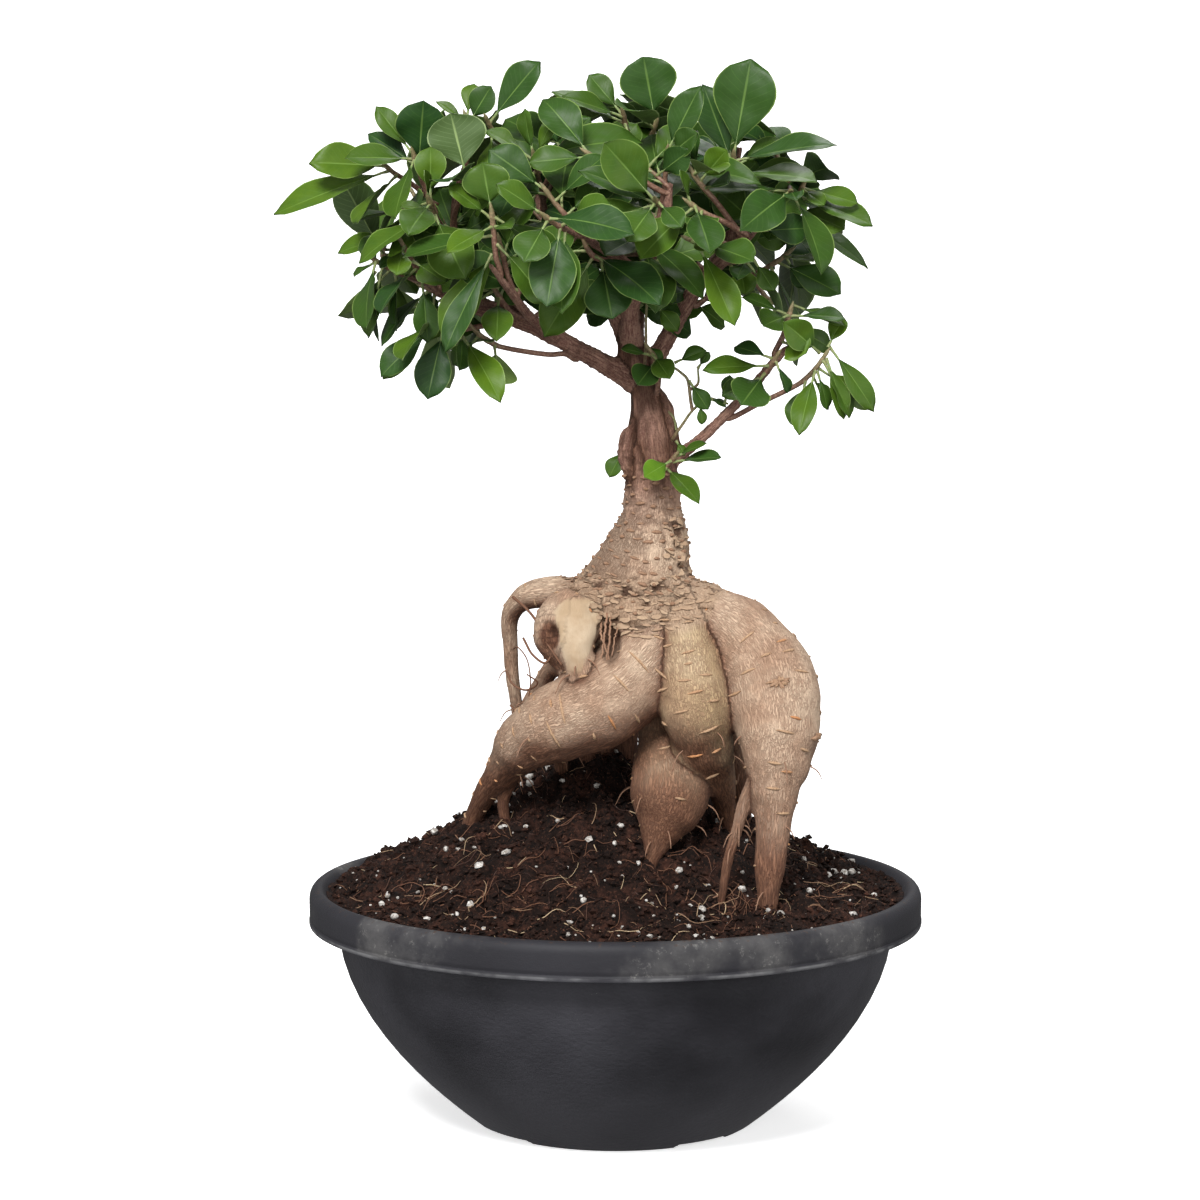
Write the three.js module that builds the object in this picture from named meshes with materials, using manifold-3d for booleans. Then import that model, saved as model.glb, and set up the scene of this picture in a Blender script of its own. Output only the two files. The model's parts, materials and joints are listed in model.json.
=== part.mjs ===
// A ginseng ficus in a round bowl: a fat-rooted woody stem, leafy shoots, potting soil and a plastic bowl.
// Millimetres, +Z up. The origin is the centre of the bowl's underside, on the surface it stands on.
// The plant is seen from the front looking along +Y, with +X to the right.
import * as THREE from "three";
import { mergeVertices } from "three/addons/utils/BufferGeometryUtils.js";
import Module from "manifold-3d";

const wasm = await Module();
wasm.setup();

// Driving dimensions of the bowl
const BOWL = {
  rimRadius: 175,
  height: 137,
  bandHeight: 21, // the vertical skirt under the rim
  wallRadius: 158.5, // outside of the wall just under the skirt
  footRadius: 78,
  flare: 1.9, // how fast the wall turns from the foot to the upright
  wall: 4.5,
  floor: 7,
  lipWidth: 9,
  segments: 32,
};
const FOOT = {
  padRadius: 22, ringInner: 60, recess: 3,
  notches: 4, firstNotch: -51, notchWidth: 38, notchHeight: 2.8,
};
const DRAIN = { radius: 5, circle: 42 };

// Driving dimensions of the soil: its edge, and the mound that the roots stand on
const SOIL = {
  edge: 133.5, lump: 1.3,
  moundHeight: 56, moundX: -5, moundY: 36, moundRadius: 162,
  heapHeight: 15, heapX: -20, heapY: 48, heapRadius: 72, // behind the front roots
};

const GAP = 0.28; // between pieces that touch
const BLADE_THICKNESS = 1.4;
const STALK_RADIUS = 0.9;
const GOLDEN_ANGLE = 137.508;

// Woody limbs. Each is a run of [x, y, z, radius] that a smooth tube follows.
const TRUNK = {
  sides: 12,
  step: 15,
  path: [
    [14, -6, 272, 30], [12, -3, 288, 35], [12, 0, 304, 34.5], [15, 0, 316, 29], [18, 0, 330, 25],
    [19.5, 0, 342, 20.5], [20, 0, 354, 16.6], [20, 0, 370, 14.8], [19.5, 0, 386, 14], [20, 0, 398, 10.4],
    [18, 0, 411, 8.2], [13, 0, 424, 8.4], [10, 0, 436, 8.2], [8, 0, 448, 7.4],
  ],
};

const ROOTS = {
  front_left: {
    sides: 9,
    step: 19,
    path: [
      [26, -8, 284, 22], [16, -24, 266, 25], [-7, -38, 246, 24.5],
      [-31, -38, 235, 22.5], [-50, -28, 223, 18.5],
      [-61, -13, 208, 11], [-72, 4, 191, 7.2], [-82, 18, 171, 5.6], [-89, 26, 152, 4.4], [-93, 30, 136, 4],
    ],
  },
  front_middle: {
    sides: 9,
    step: 19,
    path: [
      [32, -10, 292, 20], [38, -24, 279, 18.5], [42, -38, 262, 19], [45, -44, 243, 20], [49, -38, 225, 17],
      [57, -22, 203, 11.5], [62, -6, 185, 7.6], [66, 4, 164, 5.4], [68, 10, 142, 4.2],
    ],
  },
  right: {
    sides: 9,
    step: 19,
    path: [
      [34, -2, 292, 22], [52, -8, 288, 22], [71, -20, 278, 24], [84, -33, 263, 26.5], [89, -45, 246, 26],
      [90, -54, 230, 23.5], [89.5, -61, 215, 18.5], [88, -66, 202, 13.5],
      [87, -70, 182, 11], [85, -75, 162, 9.4],
      [84, -78, 147, 7.2], [83, -80, 128, 5],
    ],
  },
  middle_bulb: {
    sides: 10,
    step: 13,
    path: [
      [26, -4, 262, 15], [25, -8, 238, 12.5], [26, -12, 222, 13.5], [28, -18, 211, 18], [30, -26, 200, 21.5],
      [30, -32, 190, 22.5], [28, -36, 181, 18.5], [25, -40, 173, 12], [22, -45, 165, 7.5],
      [19, -49, 157, 4.6], [17, -52, 146, 3.2],
    ],
  },
  back_right: {
    sides: 7,
    step: 22,
    path: [
      [46, 18, 282, 18], [62, 28, 256, 15], [70, 32, 226, 11.5],
      [73, 37, 202, 9], [74, 42, 178, 7.4], [73, 46, 148, 5],
    ],
  },
  back: {
    sides: 8,
    step: 22,
    path: [
      [16, 20, 292, 22], [22, 46, 270, 20], [26, 66, 245, 17.5], [26, 84, 215, 12.5], [22, 96, 190, 8],
      [18, 102, 168, 5.6], [16, 106, 144, 4.2],
    ],
  },
  back_left: {
    sides: 7,
    step: 22,
    path: [
      [0, 14, 288, 19], [-8, 30, 262, 17], [-12, 40, 235, 13.5],
      [-13, 44, 212, 11.5], [-13, 47, 194, 9], [-11, 50, 150, 5],
    ],
  },
  back_middle: {
    sides: 7,
    step: 22,
    path: [
      [4, 20, 280, 14], [5, 36, 256, 11], [6, 46, 232, 9], [6, 50, 208, 7.6], [6, 54, 186, 6], [6, 57, 148, 4.4],
    ],
  },
  left_loop: {
    sides: 6,
    step: 18,
    path: [
      [-8, 2, 300, 9.4], [-20, 5, 304, 9], [-34, 9, 305, 8.6], [-48, 15, 303, 7.2], [-58, 20, 297, 5.8],
      [-62, 25, 286, 4.8], [-61, 28, 272, 3.9], [-60, 31, 254, 3.3],
      [-57, 34, 234, 2.8], [-55, 38, 208, 2.6],
      [-54, 41, 178, 2.4], [-53, 43, 148, 2.1],
    ],
  },
  knob: {
    sides: 8,
    step: 13,
    path: [
      [0, -6, 298, 14], [-12, -14, 297, 15], [-24, -24, 292, 18.5],
      [-30, -33, 284, 18], [-27, -32, 272, 11.5],
      [-23, -26, 262, 6.4], [-28, -14, 262, 6.4], [-35, -4, 262, 6.4],
      [-43, 4, 250, 5.6], [-52, 12, 233, 4.8],
      [-60, 22, 205, 3.8], [-63, 28, 176, 3], [-64, 32, 148, 2.4],
    ],
  },
  knob_face: {
    sides: 8,
    step: 12,
    path: [
      [-22, -32, 292, 14], [-22, -39, 285, 13.5], [-22, -45, 275, 9.5], [-21, -48, 266, 7], [-19, -47, 256, 5],
    ],
  },
  prop_left: {
    sides: 4,
    step: 20,
    path: [
      [-52, -20, 212, 5], [-60, -9, 196, 4], [-64, -4, 184, 3.4], [-62, -2, 168, 2.8], [-60, 0, 146, 2.2],
    ],
  },
  prop_middle: {
    sides: 4,
    step: 22,
    path: [
      [-28, -26, 236, 5], [-30, -6, 226, 5], [-31, 12, 212, 4.4], [-31, 22, 196, 4], [-29, 28, 172, 3],
      [-28, 30, 146, 2.2],
    ],
  },
  prop_right: {
    sides: 4,
    step: 17,
    path: [
      [86, -62, 214, 5.5], [78, -64, 206, 5.4], [72, -66, 196, 4.2], [67, -70, 180, 3.2],
      [62, -74, 164, 2.8], [58, -76, 140, 2.2],
    ],
  },
};

const BRANCHES = {
  left: {
    sides: 6,
    step: 20,
    path: [
      [14, 0, 421, 7.4], [0, -4, 430, 6.4], [-17, -13, 440, 5.8],
      [-33, -22, 449, 5.4], [-48, -27, 456, 4.4],
      [-66, -30, 462, 3.6], [-84, -30, 467, 2.9], [-100, -26, 474, 2.1],
    ],
  },
  left_upper: {
    sides: 5,
    step: 22,
    path: [
      [-36, -23, 450, 4.4], [-54, -18, 464, 4], [-70, -12, 478, 3.6], [-88, -4, 498, 3],
      [-100, 2, 516, 2.4], [-106, 6, 530, 1.9],
    ],
  },
  left_back: {
    sides: 4,
    step: 24,
    path: [
      [-48, -27, 456, 3.4], [-68, -10, 466, 2.8], [-90, 6, 474, 2.3], [-112, 14, 480, 1.8],
    ],
  },
  left_front: {
    sides: 4,
    step: 24,
    path: [
      [-30, -20, 447, 3.2], [-46, -44, 460, 2.7], [-58, -66, 476, 2.2], [-68, -80, 490, 1.8],
    ],
  },
  middle_left: {
    sides: 5,
    step: 22,
    path: [
      [9, 0, 443, 6.4], [-2, 5, 463, 4.6], [-12, 10, 480, 3.8], [-26, 16, 496, 3.2], [-40, 24, 514, 2.6],
      [-46, 30, 532, 2],
    ],
  },
  middle_left_back: {
    sides: 4,
    step: 24,
    path: [
      [-12, 10, 480, 3.4], [-34, 34, 494, 2.9], [-58, 52, 502, 2.4], [-80, 64, 508, 1.9],
    ],
  },
  middle: {
    sides: 5,
    step: 20,
    path: [
      [9, -1, 444, 7], [9, -10, 467, 5.2], [15, -21, 485, 4.6], [21, -33, 500, 4], [27, -45, 516, 3.2],
      [30, -52, 534, 2.3],
    ],
  },
  middle_top: {
    sides: 4,
    step: 24,
    path: [
      [9, -8, 462, 4], [5, 0, 485, 3.2], [4, 8, 508, 2.8], [8, 12, 532, 2.3], [10, 14, 550, 1.8],
    ],
  },
  middle_front: {
    sides: 4,
    step: 24,
    path: [
      [14, -19, 483, 3.2], [4, -42, 492, 2.7], [-10, -62, 500, 2.2], [-20, -80, 508, 1.8],
    ],
  },
  right: {
    sides: 6,
    step: 20,
    path: [
      [17, 4, 424, 6.4], [27, 8, 444, 5.6], [37, 10, 462, 5.2], [48, 8, 480, 4.8], [61, 5, 494, 4.4],
      [74, 1, 510, 3.6], [88, -6, 526, 2.8], [98, -12, 538, 2],
    ],
  },
  right_top: {
    sides: 4,
    step: 24,
    path: [
      [62, 5, 496, 3.4], [66, -3, 518, 2.8], [68, -8, 540, 2.2], [69, -10, 554, 1.8],
    ],
  },
  right_back: {
    sides: 4,
    step: 24,
    path: [
      [48, 8, 480, 4], [62, 26, 498, 3.2], [76, 42, 512, 2.6], [88, 56, 522, 2],
    ],
  },
  right_front: {
    sides: 4,
    step: 24,
    path: [
      [46, 8, 478, 3.2], [58, -16, 489, 2.7], [68, -40, 498, 2.2], [74, -58, 506, 1.8],
    ],
  },
  right_low: {
    sides: 5,
    step: 22,
    path: [
      [28, 0, 376, 4.6], [47, -8, 391, 3.1], [61, -14, 405, 2.8], [76, -20, 421, 2.6], [90, -25, 438, 2.3],
      [104, -27, 450, 2],
    ],
  },
  back: {
    sides: 5,
    step: 22,
    path: [
      [10, 2, 436, 6.4], [12, 20, 458, 5], [10, 40, 480, 4.2], [2, 60, 500, 3.4], [-8, 80, 516, 2.6],
      [-14, 94, 528, 2],
    ],
  },
  back_right: {
    sides: 4,
    step: 24,
    path: [
      [11, 32, 472, 4], [26, 52, 490, 3.2], [40, 70, 506, 2.6], [50, 86, 518, 2],
    ],
  },
};

// Leafy shoots. Each grows from a branch and ends at tip. leaves is how many the rule adds, and size scales
// them. placed are the leaves that the crown's outline needs: each one's tip, its width and the way that its
// upper face looks.
const FRONT = [0, -1, 0.3];
const RAISED = [0, -0.8, 0.8];
const UP = [0, -0.5, 1];
const UNDERSIDE = [0, 1, 0.3];
const LEFTWARD = [-0.8, -0.6, 0.4];
const RIGHTWARD = [0.8, -0.6, 0.4];
const SHOOTS = {
  // Left side of the crown
  s01: { from: "left_upper", tip: [-128, -8, 544], leaves: 1, size: 0.9, placed: [
    { to: [-191, -13, 517], width: 23, face: [0.2, -0.6, 1] },
    { to: [-170, -20, 546], width: 22, face: [-0.1, -1, 0.5] },
  ] },
  s02: { from: "left_upper", tip: [-112, -22, 550], leaves: 1, size: 0.9, placed: [
    { to: [-149, -34, 548], width: 18, face: RAISED },
    { to: [-138, -12, 562], width: 15, face: RAISED },
    { to: [-133, -20, 577], width: 12, face: FRONT },
    { to: [-106, -30, 580], width: 28, face: FRONT },
  ] },
  s03: { from: "left_upper", tip: [-102, -58, 525], leaves: 3, size: 0.95, placed: [
    { to: [-101, -56, 554], width: 17, face: FRONT },
    { to: [-117, -70, 521], width: 9, face: RAISED },
    { to: [-111, -80, 507], width: 19, face: FRONT },
    { to: [-104, -70, 541], width: 9, face: RIGHTWARD },
  ] },
  s04: { from: "left_upper", tip: [-82, -50, 538], leaves: 1, size: 0.9, placed: [
    { to: [-90, -56, 572], width: 32, face: UNDERSIDE },
  ] },
  s05: { from: "left_upper", tip: [-83, -16, 570], leaves: 2, size: 0.85, placed: [
    { to: [-69, -20, 588], width: 15, face: FRONT },
    { to: [-100, -12, 580], width: 9, face: UP },
    { to: [-79, -8, 590], width: 11, face: RAISED },
  ] },
  s06: { from: "middle_left", tip: [-71, -28, 569], leaves: 2, size: 0.9, placed: [
    { to: [-42, -34, 601], width: 20, face: [-0.4, -1, 0.3] },
  ] },
  s07: { from: "left_back", tip: [-121, -6, 527], leaves: 1, size: 0.9, placed: [
    { to: [-147, -10, 513], width: 15, face: [-0.7, -0.3, 0.7] },
    { to: [-142, -26, 496], width: 19, face: LEFTWARD },
    { to: [-156, 4, 496], width: 15, face: LEFTWARD },
    { to: [-133, -28, 494], width: 16, face: [-1, -0.3, 0.2] },
    { to: [-129, -30, 502], width: 16, face: FRONT },
  ] },
  s08: { from: "left_back", tip: [-136, -12, 493], leaves: 1, size: 0.8, placed: [
    { to: [-146, -18, 483], width: 8, face: LEFTWARD },
    { to: [-146, -6, 462], width: 14, face: [-1, -0.3, 0.1] },
    { to: [-138, -16, 449], width: 15, face: [-0.6, -0.8, 0.1] },
    { to: [-125, -4, 452], width: 16, face: [0.8, -0.6, 0.1] },
  ] },
  s09: { from: "left", tip: [-118, -40, 502], leaves: 1, size: 0.85, placed: [
    { to: [-130, -45, 488], width: 12, face: LEFTWARD },
    { to: [-120, -50, 484], width: 13, face: FRONT },
    { to: [-93, -56, 480], width: 20, face: [0.2, -1, 0.4] },
  ] },
  s10: { from: "left", tip: [-106, -26, 477], leaves: 1, size: 0.85, placed: [
    { to: [-103, -38, 448], width: 16, face: FRONT },
    { to: [-107, -18, 465], width: 16, face: FRONT },
  ] },
  s11: { from: "left", tip: [-101, -34, 460], leaves: 1, size: 0.85, placed: [
    { to: [-130, -40, 428], width: 17, face: [-0.4, -1, 0.3] },
    { to: [-104, -44, 416], width: 20, face: FRONT },
    { to: [-86, -50, 432], width: 12, face: RIGHTWARD },
  ] },
  s12: { from: "left", tip: [-80, -42, 456], leaves: 1, size: 0.85, placed: [
    { to: [-64, -52, 424], width: 24, face: [-0.3, 1, 0.2] },
    { to: [-68, -62, 448], width: 14, face: RAISED },
    { to: [-91, -36, 434], width: 11, face: FRONT },
  ] },
  s13: { from: "left", tip: [-68, -42, 478], leaves: 2, size: 0.85, placed: [
    { to: [-65, -56, 449], width: 17, face: FRONT },
    { to: [-82, -56, 465], width: 11, face: LEFTWARD },
  ] },
  s14: { from: "left_front", tip: [-63, -70, 502], leaves: 3, size: 0.95, placed: [
    { to: [-94, -90, 449], width: 22, face: [-0.5, -1, 0.3] },
    { to: [-52, -74, 462], width: 16, face: FRONT },
  ] },
  s15: { from: "left_front", tip: [-67, -84, 518], leaves: 2, size: 0.95, placed: [
    { to: [-90, -90, 532], width: 14, face: RAISED },
    { to: [-114, -100, 494], width: 18, face: UP },
    { to: [-90, -102, 497], width: 14, face: RAISED },
    { to: [-56, -98, 510], width: 12, face: RAISED },
    { to: [-72, -78, 545], width: 25, face: FRONT },
  ] },
  // Middle of the crown, towards the front
  s16: { from: "middle_front", tip: [-38, -96, 516], leaves: 2, size: 0.95, placed: [
    { to: [-64, -102, 533], width: 17, face: RAISED },
    { to: [-49, -114, 492], width: 20, face: [0, -0.9, 0.6] },
    { to: [-37, -108, 468], width: 25, face: FRONT },
    { to: [-4, -104, 523], width: 19, face: [0.1, -0.8, 0.7] },
  ] },
  s17: { from: "middle_front", tip: [-38, -68, 530], leaves: 3, size: 0.95, placed: [
    { to: [-6, -74, 549], width: 15, face: [-0.3, -0.9, 0.5] },
    { to: [-69, -66, 552], width: 20, face: FRONT },
    { to: [-10, -62, 532], width: 14, face: RAISED },
  ] },
  s18: { from: "middle_left", tip: [-45, -42, 549], leaves: 4, size: 0.95, placed: [
    { to: [-50, -42, 575], width: 13, face: LEFTWARD },
    { to: [-35, -40, 569], width: 8, face: FRONT },
    { to: [-72, -48, 563], width: 16, face: UP },
  ] },
  s19: { from: "middle_left", tip: [-30, -22, 554], leaves: 3, size: 0.9, placed: [
    { to: [-14, -26, 571], width: 12, face: FRONT },
    { to: [-39, -16, 570], width: 9, face: RAISED },
  ] },
  s20: { from: "middle_front", tip: [-18, -66, 504], leaves: 3, size: 0.95, placed: [
    { to: [-2, -74, 461], width: 26, face: FRONT },
    { to: [-39, -64, 451], width: 24, face: FRONT },
  ] },
  s21: { from: "middle", tip: [-15, -66, 550], leaves: 3, size: 0.95, placed: [
    { to: [-48, -76, 545], width: 16, face: [0, -0.9, 0.5] },
  ] },
  s22: { from: "middle_top", tip: [4, -12, 574], leaves: 1, size: 0.9, placed: [
    { to: [-36, -6, 585], width: 17, face: UP },
    { to: [-30, -24, 582], width: 14, face: RAISED },
    { to: [-15, -6, 595], width: 14, face: FRONT },
    { to: [-23, -30, 555], width: 16, face: FRONT },
  ] },
  s23: { from: "middle_top", tip: [22, -26, 567], leaves: 2, size: 0.95, placed: [
    { to: [15, -30, 604], width: 31, face: FRONT },
    { to: [4, -60, 575], width: 25, face: [0, -0.6, 1] },
  ] },
  s24: { from: "middle", tip: [21, -90, 525], leaves: 0, size: 0.95, placed: [
    { to: [-7, -104, 555], width: 25, face: FRONT },
    { to: [-20, -88, 541], width: 17, face: RAISED },
    { to: [-22, -98, 509], width: 23, face: RAISED },
    { to: [6, -114, 503], width: 21, face: [0, -1, 0.5] },
    { to: [35, -106, 510], width: 13, face: FRONT },
  ] },
  s25: { from: "middle", tip: [28, -50, 551], leaves: 3, size: 0.95, placed: [
    { to: [46, -56, 587], width: 18, face: [-0.2, -1, 0.4] },
    { to: [44, -64, 561], width: 15, face: FRONT },
  ] },
  s26: { from: "middle", tip: [13, -52, 508], leaves: 3, size: 0.9, placed: [
    { to: [-6, -68, 495], width: 20, face: RAISED },
  ] },
  s27: { from: "trunk", tip: [19, -20, 442], leaves: 0, size: 0.6, placed: [
    { to: [12, -34, 423], width: 16, face: FRONT },
    { to: [30, -36, 427], width: 13, face: FRONT },
    { to: [3, -28, 443], width: 8, face: RAISED },
  ] },
  // Right side of the crown
  s28: { from: "right_top", tip: [65, -32, 549], leaves: 0, size: 0.95, placed: [
    { to: [74, -36, 602], width: 34, face: FRONT },
    { to: [121, -40, 556], width: 23, face: UP },
    { to: [93, -52, 558], width: 14, face: RAISED },
    { to: [110, -44, 536], width: 23, face: UP },
    { to: [104, -22, 544], width: 16, face: RAISED },
    { to: [112, -20, 567], width: 17, face: UP },
    { to: [48, -24, 589], width: 20, face: FRONT },
  ] },
  s29: { from: "right_front", tip: [41, -60, 541], leaves: 1, size: 0.9, placed: [
    { to: [44, -66, 563], width: 11, face: LEFTWARD },
    { to: [60, -76, 552], width: 15, face: FRONT },
    { to: [60, -84, 534], width: 17, face: RAISED },
  ] },
  s30: { from: "right_front", tip: [40, -76, 523], leaves: 2, size: 0.9, placed: [
    { to: [46, -86, 508], width: 18, face: FRONT },
    { to: [34, -84, 541], width: 9, face: RIGHTWARD },
  ] },
  s31: { from: "right", tip: [96, -46, 530], leaves: 2, size: 0.9, placed: [
    { to: [47, -56, 531], width: 21, face: UP },
    { to: [61, -38, 540], width: 20, face: UP },
    { to: [98, -62, 525], width: 11, face: FRONT },
  ] },
  s32: { from: "right", tip: [104, -24, 534], leaves: 0, size: 0.9, placed: [
    { to: [142, -32, 511], width: 20, face: [0.2, -0.7, 1] },
    { to: [134, -14, 523], width: 15, face: RAISED },
    { to: [115, -36, 522], width: 10, face: RAISED },
  ] },
  s33: { from: "right", tip: [101, -10, 523], leaves: 0, size: 0.9, placed: [
    { to: [127, -24, 509], width: 20, face: [0.2, -1, 0.6] },
    { to: [142, -4, 488], width: 18, face: UP },
    { to: [113, -32, 492], width: 13, face: [0.5, -0.8, 0.5] },
    { to: [85, -20, 503], width: 12, face: FRONT },
  ] },
  s34: { from: "right", tip: [97, 0, 496], leaves: 2, size: 0.85, placed: [
    { to: [126, -12, 473], width: 21, face: [0.2, -1, 0.6] },
    { to: [110, -24, 491], width: 14, face: UP },
    { to: [106, 10, 476], width: 9, face: FRONT },
  ] },
  s35: { from: "right", tip: [79, -18, 494], leaves: 2, size: 0.85, placed: [
    { to: [72, -24, 473], width: 15, face: FRONT },
    { to: [88, -28, 475], width: 12, face: FRONT },
    { to: [67, -36, 482], width: 12, face: RAISED },
    { to: [78, -32, 524], width: 13, face: [0.6, -0.8, 0.2] },
  ] },
  s36: { from: "right_front", tip: [39, -70, 504], leaves: 0, size: 0.9, placed: [
    { to: [74, -84, 492], width: 20, face: RAISED },
    { to: [64, -84, 457], width: 18, face: [0.3, -1, 0.3] },
    { to: [49, -92, 498], width: 8, face: FRONT },
  ] },
  s37: { from: "right_low", tip: [97, -28, 464], leaves: 0, size: 0.8, placed: [
    { to: [127, -33, 460], width: 16, face: UP },
    { to: [105, -42, 441], width: 19, face: FRONT },
    { to: [122, -24, 442], width: 12, face: FRONT },
    { to: [70, -24, 472], width: 9, face: RAISED },
    { to: [81, -38, 456], width: 18, face: [-0.3, -1, 0.3] },
  ] },
  s38: { from: "right_low", tip: [89, -36, 439], leaves: 0, size: 0.8, placed: [
    { to: [48, -40, 432], width: 14, face: RAISED },
    { to: [66, -28, 444], width: 12, face: RAISED },
    { to: [69, -52, 413], width: 23, face: FRONT },
    { to: [95, -40, 419], width: 10, face: RIGHTWARD },
    { to: [59, -30, 417], width: 12, face: FRONT },
  ] },
  s39: { from: "right_low", tip: [116, -28, 439], leaves: 0, size: 0.8, placed: [
    { to: [101, -34, 399], width: 16, face: [-0.3, -1, 0.1] },
    { to: [119, -22, 409], width: 13, face: RIGHTWARD },
    { to: [130, -32, 405], width: 18, face: RIGHTWARD },
    { to: [145, -28, 410], width: 16, face: [0.3, -1, 0.3] },
  ] },
  s40: { from: "trunk", tip: [33, -18, 382], leaves: 0, size: 0.5, placed: [
    { to: [16, -32, 372], width: 13, face: FRONT },
    { to: [38, -28, 354], width: 12, face: FRONT },
    { to: [59, -24, 382], width: 14, face: UP },
    { to: [51, -14, 390], width: 9, face: UP },
  ] },
  // Back of the crown
  s41: { from: "left_back", tip: [-132, 34, 500], leaves: 5, size: 1, placed: [] },
  s42: { from: "left_back", tip: [-106, 38, 462], leaves: 5, size: 0.95, placed: [] },
  s43: { from: "left_upper", tip: [-116, 42, 530], leaves: 5, size: 1, placed: [] },
  s44: { from: "middle_left_back", tip: [-102, 86, 502], leaves: 6, size: 1, placed: [] },
  s45: { from: "middle_left_back", tip: [-80, 66, 544], leaves: 6, size: 1, placed: [] },
  s46: { from: "middle_left", tip: [-50, 50, 568], leaves: 6, size: 1, placed: [] },
  s47: { from: "back", tip: [-34, 114, 532], leaves: 6, size: 1, placed: [] },
  s48: { from: "back", tip: [-28, 104, 496], leaves: 5, size: 1, placed: [] },
  s49: { from: "back", tip: [0, 74, 562], leaves: 6, size: 1, placed: [] },
  s50: { from: "back_right", tip: [58, 108, 520], leaves: 6, size: 1, placed: [] },
  s51: { from: "back_right", tip: [30, 100, 494], leaves: 4, size: 1, placed: [] },
  s52: { from: "right_back", tip: [60, 54, 556], leaves: 6, size: 1, placed: [] },
  s53: { from: "right_back", tip: [108, 66, 516], leaves: 6, size: 1, placed: [] },
  s54: { from: "right_back", tip: [90, 54, 468], leaves: 4, size: 0.95, placed: [] },
  s55: { from: "right_back", tip: [104, 30, 538], leaves: 4, size: 0.95, placed: [] },
};

// The rule's leaf sizes and habits
const LEAF = {
  length: 56,
  width: 32,
  petiole: 6,
  broad: 27, // a blade wider than this has one more ring
  leastFacing: 0.3, // between a leaf's direction and the face of the twig that it grows from
  openAngle: 38, // of the youngest leaf from the twig
  openStep: 8, // more for each older one
  droop: 0.34,
  sag: 0.2,
  cup: 0.22,
  clearance: 2.2, // between leaves of different shoots
  nearClearance: 0.9, // between leaves of one shoot
  stalkClearance: 2.4,
  tries: 15,
  depthTries: [0, -7, 7, -14, 14, -22, 22, -30, 30],
};
const CROWN = {
  x: -18, y: 4, z: 492, halfWidth: 160, halfDepth: 142, halfHeight: 104,
  openX: 8, openHalfWidth: 72, openTop: 462, // the space under the crown where the branches are seen
};
const TWIG = {
  baseRadius: 2.2, tipRadius: 1.7, step: 26, leafStep: 5, twist: 34, leastLength: 22, turnCost: 22,
  nearest: 1.2, // between two twigs
  crowdingCost: 15,
};

const COLOURS = {
  bowl: { color: 0x3a3a3f, roughness: 0.55, metalness: 0 },
  soil: { color: 0x2b1a14, roughness: 1, metalness: 0 },
  wood: { color: 0xa58a72, roughness: 0.8, metalness: 0 },
  leaf: { color: 0x2f6b25, roughness: 0.35, metalness: 0 },
};

// Solids

// A solid from a closed skin, with its shared corners merged
function solidFrom(geometry) {
  geometry.deleteAttribute("normal");
  geometry.deleteAttribute("uv");
  const merged = mergeVertices(geometry, 1e-4);
  return new wasm.Manifold(
    new wasm.Mesh({
      numProp: 3,
      vertProperties: new Float32Array(merged.attributes.position.array),
      triVerts: new Uint32Array(merged.index.array),
    }),
  );
}

function geometryOf(solid) {
  const mesh = solid.getMesh();
  const geometry = new THREE.BufferGeometry();
  geometry.setAttribute("position", new THREE.BufferAttribute(new Float32Array(mesh.vertProperties), 3));
  geometry.setIndex(new THREE.BufferAttribute(new Uint32Array(mesh.triVerts), 1));
  geometry.computeVertexNormals();
  return geometry;
}

// A closed solid from rings of points with the same count, each capped by a fan at the ends.
function solidFromRings(rings) {
  const count = rings[0].length;
  const positions = rings.flat().flatMap((p) => [p.x, p.y, p.z]);
  const faces = [];
  for (let r = 0; r + 1 < rings.length; r++) {
    for (let i = 0; i < count; i++) {
      const a = r * count + i;
      const b = r * count + ((i + 1) % count);
      faces.push(a, b, b + count, a, b + count, a + count);
    }
  }
  const last = (rings.length - 1) * count;
  for (let i = 1; i + 1 < count; i++) {
    faces.push(0, i + 1, i, last, last + i, last + i + 1);
  }
  const geometry = new THREE.BufferGeometry();
  geometry.setAttribute("position", new THREE.Float32BufferAttribute(positions, 3));
  geometry.setIndex(faces);
  return solidFrom(geometry);
}

function joined(solids) {
  return solids.reduce((whole, solid) => whole.add(solid));
}

function largestBody(solid) {
  return solid.decompose().reduce((best, body) => (body.volume() > best.volume() ? body : best));
}

const vector = (p) => new THREE.Vector3(p[0], p[1], p[2]);

// A smooth limb: evenly stepped points with radii along a smooth run through path
function limbPoints(path, step) {
  const curve = new THREE.CatmullRomCurve3(path.map(vector), false, "centripetal");
  const spans = path.length - 1;
  const count = Math.max(2, Math.round(curve.getLength() / step));
  const points = [];
  for (let i = 0; i <= count; i++) {
    const t = curve.getUtoTmapping(i / count);
    const span = Math.min(Math.floor(t * spans), spans - 1);
    const share = t * spans - span;
    const ease = share * share * (3 - 2 * share);
    const radius = path[span][3] + (path[span + 1][3] - path[span][3]) * ease;
    points.push({ at: curve.getPoint(t), radius });
  }
  return points;
}

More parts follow.
